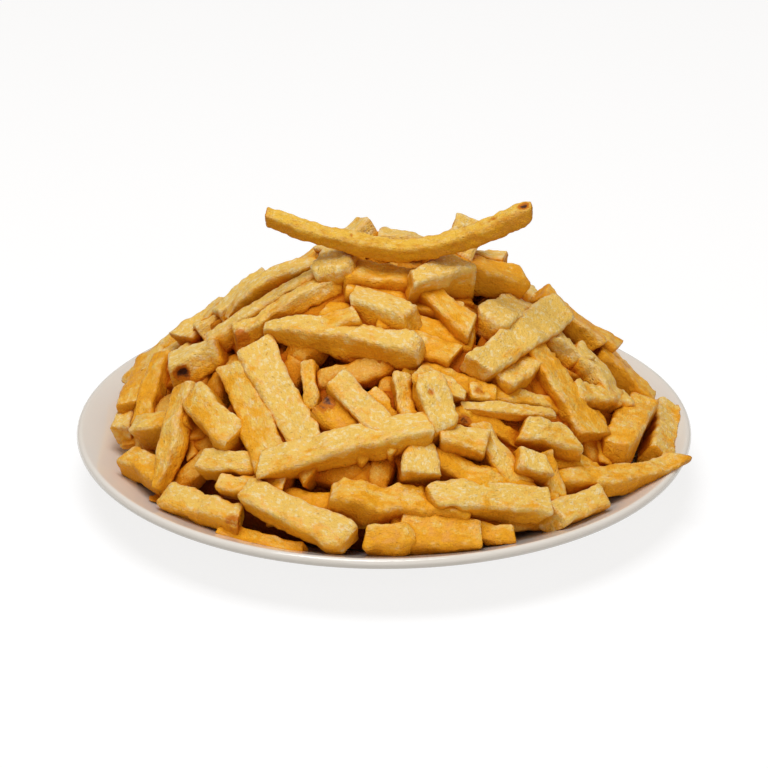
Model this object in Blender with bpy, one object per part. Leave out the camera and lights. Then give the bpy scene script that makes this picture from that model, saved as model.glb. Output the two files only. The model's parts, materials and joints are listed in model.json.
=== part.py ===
"""A portion of thick-cut french fries heaped on a round white dinner plate.

The plate stands on z = 0 with its centre on the Z axis; the heap is seen from -Y. Lengths below are in
millimetres and are turned into metres as each mesh is made.
"""
import math

import bmesh
import bpy
import numpy as np
from mathutils import Vector

# ---- driving dimensions, millimetres ----------------------------------------------------------
MM = 0.001
PLATE_RADIUS = 120.0          # outer edge of the rim
RIM_TOP = 24.0                # height of the crest of the rim
WELL_TOP = 6.5                # height of the flat of the well
FOOT_RADIUS = 60.0            # middle of the foot ring
PLATE_SEGMENTS = 64
CLEARANCE = 0.35              # air between the fries and the plate
HEAP_FOOT = 18.0              # height of the outermost fries' centres
HEAP_TOP = 95.0               # height of the topmost fries' centres
HEAP_RADIUS = 110.0           # plan radius at which the heap has come down to HEAP_FOOT
HEAP_POWER = 1.6              # roundness of the heap's profile
CORE_DEPTH = 6.5              # packed inside of the heap starts this far below the fries' centres
BOW_CLEARANCE = 0.4           # air between the long top fry and the heap
BAR_LEAN = 0.6                # how far the shown fries' broad faces turn from the heap's normal towards straight up

# Plate profile, (radius, height), from the middle of the underside round the rim to the middle of the top.
PLATE_PROFILE = (
    (0.0, 2.6), (54.0, 2.6), (FOOT_RADIUS - 3.4, 0.4), (FOOT_RADIUS - 2.6, 0.0), (FOOT_RADIUS + 2.6, 0.0),
    (FOOT_RADIUS + 3.4, 0.5), (66.0, 2.9), (78.0, 4.6), (90.0, 8.4), (118.6, 19.9), (119.7, 21.0),
    (PLATE_RADIUS, 22.3), (119.4, 23.5), (118.3, RIM_TOP), (117.0, 23.7), (84.0, 9.5), (77.0, 7.3),
    (70.0, WELL_TOP), (0.0, WELL_TOP - 0.3),
)

# Fries that show on the heap: name, plan position of one end and its lift above the heap's surface of
# centres, the same for the other end, width, thickness, rise of the middle, sideways sway of the middle.
FRIES = (
    ("tapered", -74, -29, 2, -83.5, -64, 1, 10, 9, 1, 0),
    ("short_thick", -69.5, -39.5, 2, -55, -65.5, 1, 11, 10, 0, 0),
    ("twin_left", -57.5, -33, 2, -40, -78.5, -1, 10, 9, 0, 0),
    ("twin_right", -50, -30.5, 0, -25.5, -79.5, -1, 12, 10, 0, 0),
    ("hollow_end", -66, -66, 1, -38.5, -76.5, -3, 9, 9, 0, 0),
    ("pale_behind", -60, -76, 1, -37, -83.5, -3, 8, 8, 0, 0),
    ("orange_end", -81, -67.5, 0, -52.5, -90, 1, 10, 9, 0, 0),
    ("front_long", -51, -83, 1.5, -12, -105, 1, 11, 10, 1, 0),
    ("front_small", -60.5, -88.5, -1, -29, -104, -2, 7, 6, 0, 0),
    ("orange_shade", -44.5, -82.5, -5.5, -4.5, -93, -6.5, 10, 9, 0, 0),
    ("cut_chunk", -93, -30, 1, -70.5, -43, -2.5, 11, 11, 0, 0),
    ("low_chunk", -97, -38, 0, -80.5, -59, -3.5, 11, 10, 0, 0),
    ("left_long", -90.5, 30, 3, -101.5, -19, 1, 8, 9, 1, 0),
    ("left_inner", -85.5, 12, 1.5, -92.5, -25, -2.5, 8, 8, 0, 0),
    ("burnt_block", -82, -14, 6, -60, -15, -2.5, 14, 13, 0, 0),
    ("brown_end", -56.5, -22.5, 2, -16.5, -16.5, 0, 9, 8, 1, 0),
    ("ridge_long", -66, -12.5, 2, -17.5, -8.5, 1, 10, 9, 1, 0),
    ("arch", -59, 2, -1, -18, 1, -5, 9, 9, 6, 0),
    ("lumpy", -14.5, -2, 4.5, -18.5, -20, 3.5, 14, 12, 0, 0),
    ("under_bow", -15, -15.5, 0.5, 13, -16.5, -2.5, 11, 10, 0, 0),
    ("bright_mid", -11.5, -27, 0.5, 11, -39.5, 4, 12, 11, 0, 0),
    ("big_block", 9, -24, 3, 28.5, -8.5, 3, 12, 12, 0, 0),
    ("shade_low", -22, -25, -5, 0, -38, -5, 10, 9, 0, 0),
    ("small_back", -23, -36, 1, -9, -36, 1, 8, 7, 0, 0),
    ("big_pale", -45, -28, 4, 14, -50, 3, 12, 11, 2, 0),
    ("lean_mid", 15.5, -20, -1.5, 33, -35, 2, 10, 10, 0, 0),
    ("orange_mid", 0.5, -39.5, -5, 26, -46, -2, 10, 9, 0, 0),
    ("under_pale", 6, -49.5, -6, 42, -53, -3, 10, 9, 0, 0),
    ("thin_upright", -28, -45, -3.5, -26, -62.5, -3, 6, 7, 0, 0),
    ("brown_tip", -23, -62.5, -4.5, -4.5, -78.5, -6, 12, 9, 0, 0),
    ("middle_long", -18.5, -57, 1, 6.5, -78.5, -2.5, 11, 9, 0, 0),
    ("middle_stub", -6, -59, -5, 10, -75, -6, 8, 8, 0, 0),
    ("knobbly_up", 5.5, -55, -1, 10.5, -78, -2, 8, 8, 0, 0),
    ("elbow", 14.5, -59, 4, 21.5, -76, 3, 10, 9, 0, 0),
    ("flat_tip", 13, -57.5, 0, 30, -61, 2, 13, 8, 0, 0),
    ("diagonal", -45, -79, 3, 17.5, -75.5, 4, 10, 9, 1, 0),
    ("wedge", 13, -70, -1.5, 14, -88, 0.5, 12, 11, 0, 0),
    ("front_block", 20, -74, 0.5, 38, -73.5, 1, 9, 9, 0, 0),
    ("striped", 12, -78.5, -3, 47, -84, -2, 10, 10, 0, 0),
    ("golden_elbow", 34, -66, -1.5, 51, -79.5, -3, 10, 9, 0, 0),
    ("thin_flat", 28.5, -63.5, 1, 64, -50, 2, 6, 5, 1, 0),
    ("brown_spot", 23, -63.5, -4, 53, -63, -4, 8, 8, 0, 0),
    ("pale_slab", 50, -63, 0, 71, -58, 2, 10, 10, 0, 0),
    ("square_chunk", 53, -72, 4, 54.5, -79, 4, 11, 9, 0, 0),
    ("chunk_behind", 58, -67.5, 1, 64, -79.5, -0.5, 7, 8, 0, 0),
    ("wrinkled_big", 16.5, -94.5, 3, 59, -85, 4, 12, 11, 0, 0),
    ("strip_behind", 33, -81, -2.5, 64, -80, -1.5, 9, 8, 0, 0),
    ("wrinkled", -20, -93.5, 1, 30.5, -91.5, -4, 12, 10, 0, 0),
    ("face_end", 5.5, -101, -2.5, 34.5, -101, 1, 12, 11, 0, 0),
    ("short_knob", 30, -96, -3.5, 47, -96, 0, 7, 7, 0, 0),
    ("round_lump", -6.5, -104.5, 1, 10.5, -105, 1, 10, 9, 1, 0),
    ("lump_behind", 1.5, -97, -6, 18.5, -99.5, -5, 9, 9, 0, 0),
    ("pale_long", 34, -51, 3, 67, 5, 7, 12, 11, 0, 0),
    ("beige_under", 43, -49, -1, 63, -16, -3, 10, 9, 0, 0),
    ("round_right", 38.5, -26.5, -0.5, 54, 2.5, 1, 13, 12, 0, 0),
    ("broad_flat", 55.5, -22, -1.5, 78, -47, 0, 12, 8, 0, 0),
    ("band", 31, -56, -2.5, 72.5, -37.5, -3, 8, 7, 0, 0),
    ("knob_a", 58, -11, -1.5, 76, -7.5, 0, 11, 10, 0, 0),
    ("knob_b", 72, -6, 0.5, 89.5, -18.5, 0, 11, 10, 0, 0),
    ("under_knob", 71, -34, 0, 95, -9, 0, 9, 9, 0, 0),
    ("right_thick", 87, -47.5, 2, 100.5, -0.5, 2, 12, 11, 0, 0),
    ("right_edge", 103, -34, 2.5, 110, 16, 3, 10, 10, 0, 0),
    ("long_bent", 58.5, -73, -1.5, 110.5, -38.5, 14, 9, 9, -2, 5),
    ("front_chunk", 60, -86, -1, 80, -69.5, 1, 11, 10, 0, 0),
    ("brown_flat", 56.5, -64.5, -5, 84.5, -52.5, -5, 9, 8, 0, 0),
    ("small_end", 78.5, -29, -4.5, 84, -48.5, -5.5, 7, 7, 0, 0),
    ("dark_yellow", 20, -4, 2, 51, 6, 5.5, 12, 11, 0, 0),
    ("poke", 28, 17.5, -1, 47, 13, 10.5, 10, 10, 0, 0),
    ("stick_out", 60, 10, 8, 82, 9, 6, 11, 10, 0, 0),
    ("right_end", 66, 13.5, 5, 89, 12, 8, 10, 10, 0, 0),
    ("slope_piece", 81.5, 3, 1.5, 103, 3, 3.5, 10, 10, 0, 0),
    ("peak_left", -22, 2.5, 1.5, -6, 14, 8, 12, 10, 0, 0),
    ("peak_mid", -2, 10, 3.5, 14, 8, 3, 11, 9, 0, 0),
    ("peak_right", 28, 0.5, 6, 33.5, 12, 20, 12, 10, 0, 0),
    ("left_knob_1", -78, 18, 0, -60, 34, -1, 10, 9, 0, 0),
    ("left_knob_2", -72, 14, -1, -52, 26, -1, 10, 9, 0, 0),
    ("left_knob_3", -64, 12, -1, -44, 24, -1, 10, 9, 0, 0),
    ("left_knob_4", -55, 14, -2, -36, 20, -2, 10, 9, 0, 0),
    ("prop_top", -14, -18, -3, 30, -24, -4, 13, 11, 0, 0),
    ("prop_front", -2, -34, -4, 34, -34, -4, 12, 10, 0, 0),
    ("prop_left", -90, 26, 1, -96, -12, 0, 12, 10, 0, 0),
)

# Rings of fries over the far side of the heap: plan radius, how many.
BACK_RINGS = ((20.0, 2), (42.0, 5), (62.0, 7), (80.0, 8), (97.0, 9))
BACK_LENGTH = (36.0, 60.0)
BACK_THICK = (8.5, 11.0)

# Centre line of the long bowed fry that lies across the top: x, y, z, then its width and height there.
BOW = (
    (-44.0, -12.0, 113.8, 6.0, 6.4), (-40.0, -12.0, 112.2, 6.6, 6.8), (-35.5, -12.5, 110.6, 6.6, 6.8),
    (-24.5, -13.5, 107.4, 6.6, 6.8), (-13.0, -14.0, 103.8, 7.4, 7.6), (-2.0, -14.5, 101.4, 7.8, 7.9),
    (6.0, -15.0, 101.0, 7.8, 7.9), (13.5, -15.0, 101.5, 7.8, 7.9), (21.0, -15.0, 103.0, 7.7, 7.7),
    (28.5, -14.5, 105.0, 7.6, 7.6), (36.0, -14.5, 107.2, 7.7, 7.7), (43.5, -14.0, 110.5, 8.1, 8.2),
    (51.0, -13.5, 114.3, 8.2, 8.3), (55.5, -13.5, 116.7, 7.8, 8.0),
)


def heap_height(x: float, y: float) -> float:
    """Height of the surface on which the outer fries' centres lie."""
    reach = math.hypot(x, y) / HEAP_RADIUS
    return HEAP_FOOT + (HEAP_TOP - HEAP_FOOT) * (1.0 - min(reach, 1.07) ** HEAP_POWER)


def heap_up(x: float, y: float) -> Vector:
    """Outward normal of that surface."""
    dx = (heap_height(x + 1, y) - heap_height(x - 1, y)) / 2
    dy = (heap_height(x, y + 1) - heap_height(x, y - 1)) / 2
    return Vector((-dx, -dy, 1.0)).normalized()


def new_object(name: str, bm: bmesh.types.BMesh) -> bpy.types.Object:
    """Turn a bmesh in millimetres into a linked object in metres with outward faces."""
    bmesh.ops.recalc_face_normals(bm, faces=bm.faces)
    bmesh.ops.scale(bm, vec=(MM, MM, MM), verts=bm.verts)
    mesh = bpy.data.meshes.new(name)
    bm.to_mesh(mesh)
    bm.free()
    obj = bpy.data.objects.new(name, mesh)
    bpy.context.scene.collection.objects.link(obj)
    return obj


def revolve(name: str, profile, segments: int) -> bpy.types.Object:
    """Solid of revolution about Z; the profile starts and ends on the axis."""
    bm = bmesh.new()
    rings = []
    for radius, height in profile:
        if radius == 0.0:
            rings.append([bm.verts.new((0.0, 0.0, height))])
            continue
        turn = [math.tau * k / segments for k in range(segments)]
        rings.append([bm.verts.new((radius * math.cos(a), radius * math.sin(a), height)) for a in turn])
    for low, high in zip(rings, rings[1:]):
        for k in range(segments):
            n = (k + 1) % segments
            corners = [low[k % len(low)], low[n % len(low)], high[n % len(high)], high[k % len(high)]]
            corners = list(dict.fromkeys(corners))
            if len(corners) > 2:
                bm.faces.new(corners)
    return new_object(name, bm)


def add_loft(bm: bmesh.types.BMesh, sections) -> None:
    """Close a run of equal-length outlines into one solid bar."""
    loops = [[bm.verts.new(p) for p in section] for section in sections]
    count = len(loops[0])
    for near, far in zip(loops, loops[1:]):
        for k in range(count):
            n = (k + 1) % count
            bm.faces.new((near[k], near[n], far[n], far[k]))
    bm.faces.new(loops[0][::-1])
    bm.faces.new(loops[-1])


def add_bar(bm: bmesh.types.BMesh, start: Vector, end: Vector, up: Vector, wide: float, thick: float,
            rise: float, sway: float, rng: np.random.Generator) -> None:
    """One cut potato bar between two points, a little uneven at every corner."""
    along = (end - start).normalized()
    side = along.cross(up).normalized()
    up = side.cross(along)
    stations = [(start, 0.94), (end, 0.9)]
    if rise or sway:
        stations.insert(1, ((start + end) / 2 + up * rise + side * sway, 1.0))
    sections = []
    for point, scale in stations:
        outline = []
        for across, over in ((-0.5, -0.5), (0.5, -0.5), (0.5, 0.5), (-0.5, 0.5)):
            uneven = rng.uniform(-0.5, 0.5, 2)
            outline.append(point + side * (across * wide * scale + uneven[0])
                           + up * (over * thick * scale + uneven[1]))
        sections.append(outline)
    add_loft(bm, sections)


def shown_bars(bm: bmesh.types.BMesh, rng: np.random.Generator) -> None:
    """The fries of the list."""
    for _, x1, y1, lift1, x2, y2, lift2, wide, thick, rise, sway in FRIES:
        start = Vector((x1, y1, heap_height(x1, y1) + lift1))
        end = Vector((x2, y2, heap_height(x2, y2) + lift2))
        up = heap_up((x1 + x2) / 2, (y1 + y2) / 2) + Vector((0.0, 0.0, BAR_LEAN))
        add_bar(bm, start, end, up.normalized(), wide, thick, rise, sway, rng)


def back_bars(bm: bmesh.types.BMesh, rng: np.random.Generator) -> None:
    """Fries by rule over the far side: rings of bars, each turned at random, none past the rim."""
    for radius, count in BACK_RINGS:
        for k in range(count):
            turn = math.radians(12.0 + 156.0 * (k + 0.5 + rng.uniform(-0.2, 0.2)) / count)
            centre = Vector((radius * math.cos(turn), radius * math.sin(turn)))
            heading = rng.uniform(0.0, math.pi)
            half = rng.uniform(*BACK_LENGTH) / 2
            step = Vector((math.cos(heading), math.sin(heading))) * half
            ends = []
            for flat in (centre - step, centre + step):
                if flat.length > 106.0:
                    flat = flat.normalized() * 106.0
                ends.append(Vector((flat.x, flat.y, heap_height(flat.x, flat.y) + rng.uniform(-1.0, 2.5))))
            thick = rng.uniform(*BACK_THICK)
            add_bar(bm, ends[0], ends[1], heap_up(centre.x, centre.y), thick + 0.8, thick, 0.0, 0.0, rng)


def bow_sections(grow: float):
    """Outlines of the long top fry: a bar with cut corners, grown outward by `grow`."""
    points = [Vector(row[:3]) for row in BOW]
    sections = []
    for k, (point, row) in enumerate(zip(points, BOW)):
        along = (points[min(k + 1, len(points) - 1)] - points[max(k - 1, 0)]).normalized()
        if k == 0:
            point = point - along * grow
        elif k == len(points) - 1:
            point = point + along * grow
        side = along.cross(Vector((0.0, 0.0, 1.0))).normalized()
        up = side.cross(along)
        half_w, half_t, cut = row[3] / 2 + grow, row[4] / 2 + grow, 1.6
        outline = ((-half_w + cut, -half_t), (half_w - cut, -half_t), (half_w, -half_t + cut),
                   (half_w, half_t - cut), (half_w - cut, half_t), (-half_w + cut, half_t),
                   (-half_w, half_t - cut), (-half_w, -half_t + cut))
        sections.append([point + side * a + up * b for a, b in outline])
    return sections


def bow(name: str, grow: float) -> bpy.types.Object:
    """The long top fry as an object."""
    bm = bmesh.new()
    add_loft(bm, bow_sections(grow))
    return new_object(name, bm)


def combine(base: bpy.types.Object, other: bpy.types.Object, operation: str) -> None:
    """Apply one Boolean to `base` and drop `other`; bars cross each other, so a union takes them all at once."""
    cut = base.modifiers.new(operation.lower(), 'BOOLEAN')
    cut.operation = operation
    cut.solver = 'EXACT' if operation == 'UNION' else 'MANIFOLD'
    cut.use_self = operation == 'UNION'
    cut.object = other
    graph = bpy.context.evaluated_depsgraph_get()
    result = bpy.data.meshes.new_from_object(base.evaluated_get(graph))
    base.modifiers.clear()
    old = base.data
    base.data = result
    bpy.data.meshes.remove(old)
    bpy.data.objects.remove(other, do_unlink=True)


def keep_body(obj: bpy.types.Object) -> None:
    """Leave only the largest connected body, in triangles; the rest are pockets closed off inside it."""
    bm = bmesh.new()
    bm.from_mesh(obj.data)
    bmesh.ops.triangulate(bm, faces=bm.faces)
    groups, seen = [], set()
    for vert in bm.verts:
        if vert in seen:
            continue
        stack, group = [vert], []
        seen.add(vert)
        while stack:
            here = stack.pop()
            group.append(here)
            for edge in here.link_edges:
                there = edge.other_vert(here)
                if there not in seen:
                    seen.add(there)
                    stack.append(there)
        groups.append(group)
    groups.sort(key=len)
    for group in groups[:-1]:
        bmesh.ops.delete(bm, geom=group, context='VERTS')
    bmesh.ops.recalc_face_normals(bm, faces=bm.faces)
    bm.to_mesh(obj.data)
    bm.free()


def paint(obj: bpy.types.Object, name: str, colour, roughness: float, coat: float = 0.0) -> None:
    """Give an object its own Principled material."""
    material = bpy.data.materials.new(name)
    material.use_nodes = True
    shader = material.node_tree.nodes["Principled BSDF"]
    shader.inputs["Base Color"].default_value = (*colour, 1.0)
    shader.inputs["Roughness"].default_value = roughness
    shader.inputs["Coat Weight"].default_value = coat
    material.diffuse_color = (*colour, 1.0)
    obj.data.materials.clear()
    obj.data.materials.append(material)


def build_plate() -> bpy.types.Object:
    """The plate, one turned body."""
    plate = revolve("plate", PLATE_PROFILE, PLATE_SEGMENTS)
    paint(plate, "white_glaze", (0.83, 0.80, 0.77), 0.12, 0.6)
    return plate


def build_heap() -> bpy.types.Object:
    """The heap of fries as one body out to its uneven outline, following the plate below."""
    rng = np.random.default_rng(11)
    profile = [(0.0, 8.0), (100.0, 8.0)]
    for radius in (101.0, 92.0, 80.0, 66.0, 52.0, 38.0, 22.0, 0.0):
        profile.append((radius, heap_height(radius, 0.0) - CORE_DEPTH))
    heap = revolve("fries_heap", profile, 28)
    bm = bmesh.new()
    shown_bars(bm, rng)
    back_bars(bm, rng)
    combine(heap, new_object("bars", bm), 'UNION')
    inner = [point for point in PLATE_PROFILE[13:]]
    below = [(0.0, -12.0), (136.0, -12.0), (136.0, RIM_TOP + CLEARANCE)]
    below += [(radius, height + CLEARANCE) for radius, height in inner]
    combine(heap, revolve("plate_space", below, PLATE_SEGMENTS), 'DIFFERENCE')
    combine(heap, bow("bow_space", BOW_CLEARANCE), 'DIFFERENCE')
    keep_body(heap)
    paint(heap, "fried_potato", (0.66, 0.36, 0.07), 0.5)
    return heap


def build_bow() -> bpy.types.Object:
    """The long bowed fry lying across the top."""
    top = bow("top_fry", 0.0)
    paint(top, "golden_crust", (0.60, 0.29, 0.05), 0.45)
    return top


def main() -> None:
    for obj in list(bpy.data.objects):
        bpy.data.objects.remove(obj, do_unlink=True)
    build_plate()
    build_heap()
    build_bow()


main()
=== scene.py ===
"""French fries heaped on a round white dinner plate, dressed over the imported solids.

Sizes in the classes are millimetres, with the plate standing on z = 0 and its centre on the Z axis. Meshes are made in
metres. The heap is seen from -Y.
"""
import json
import logging
import math
from collections.abc import Callable, Sequence
from dataclasses import dataclass, field
from enum import Enum

import bpy
import numpy as np
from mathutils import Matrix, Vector
from mathutils.bvhtree import BVHTree

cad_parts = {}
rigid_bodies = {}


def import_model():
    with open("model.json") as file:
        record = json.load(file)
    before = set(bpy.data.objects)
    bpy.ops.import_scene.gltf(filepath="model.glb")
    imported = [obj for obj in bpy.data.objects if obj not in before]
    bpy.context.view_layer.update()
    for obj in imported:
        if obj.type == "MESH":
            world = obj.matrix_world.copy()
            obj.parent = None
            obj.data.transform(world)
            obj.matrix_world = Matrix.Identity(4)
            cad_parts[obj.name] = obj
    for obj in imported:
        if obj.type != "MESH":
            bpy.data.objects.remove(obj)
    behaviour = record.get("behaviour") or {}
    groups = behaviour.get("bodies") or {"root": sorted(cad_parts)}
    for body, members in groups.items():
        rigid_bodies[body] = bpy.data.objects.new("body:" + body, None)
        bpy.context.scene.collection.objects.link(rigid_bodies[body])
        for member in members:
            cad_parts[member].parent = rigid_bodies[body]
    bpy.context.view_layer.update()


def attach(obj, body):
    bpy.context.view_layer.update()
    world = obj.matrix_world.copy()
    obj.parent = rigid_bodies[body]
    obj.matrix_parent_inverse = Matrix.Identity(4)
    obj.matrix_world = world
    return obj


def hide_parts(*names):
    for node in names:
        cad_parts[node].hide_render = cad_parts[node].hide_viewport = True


MM = 0.001
log = logging.getLogger("fries")


class End(Enum):
    """How a fry ends: run of its taper, width and thickness left at the tip, roundness of the taper, hollow (mm)."""

    CUT = (0.0, 1.0, 1.0, 1.0, 0.5)
    HOLLOW = (3.0, 1.06, 1.06, 1.0, 2.8)
    ROUND = (4.5, 0.72, 0.70, 2.0, -0.3)
    POINT = (16.0, 0.55, 0.30, 1.3, 0.0)
    WEDGE = (13.0, 1.0, 0.30, 1.1, 0.1)
    BLADE = (15.0, 0.30, 0.9, 1.1, 0.1)


@dataclass(frozen=True)
class Mark:
    """A pit or a burnt spot on one fry.

    Place is a share of the length and an angle round the fry in degrees, 0 on its upper face and 90 on its side.
    """

    along: float
    around: float
    length: float
    width: float
    depth: float
    burn: float


@dataclass(frozen=True)
class Look:
    """What sets one fry apart: its ends, the slope of its cuts, how it is rolled, how lumpy it is, and its marks."""

    start: End = End.CUT
    end: End = End.CUT
    slant_start: tuple[float, float] = (0.0, 0.0)
    slant_end: tuple[float, float] = (0.0, 0.0)
    roll: float = 0.0
    lumps: float = 1.0
    marks: tuple[Mark, ...] = ()


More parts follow.
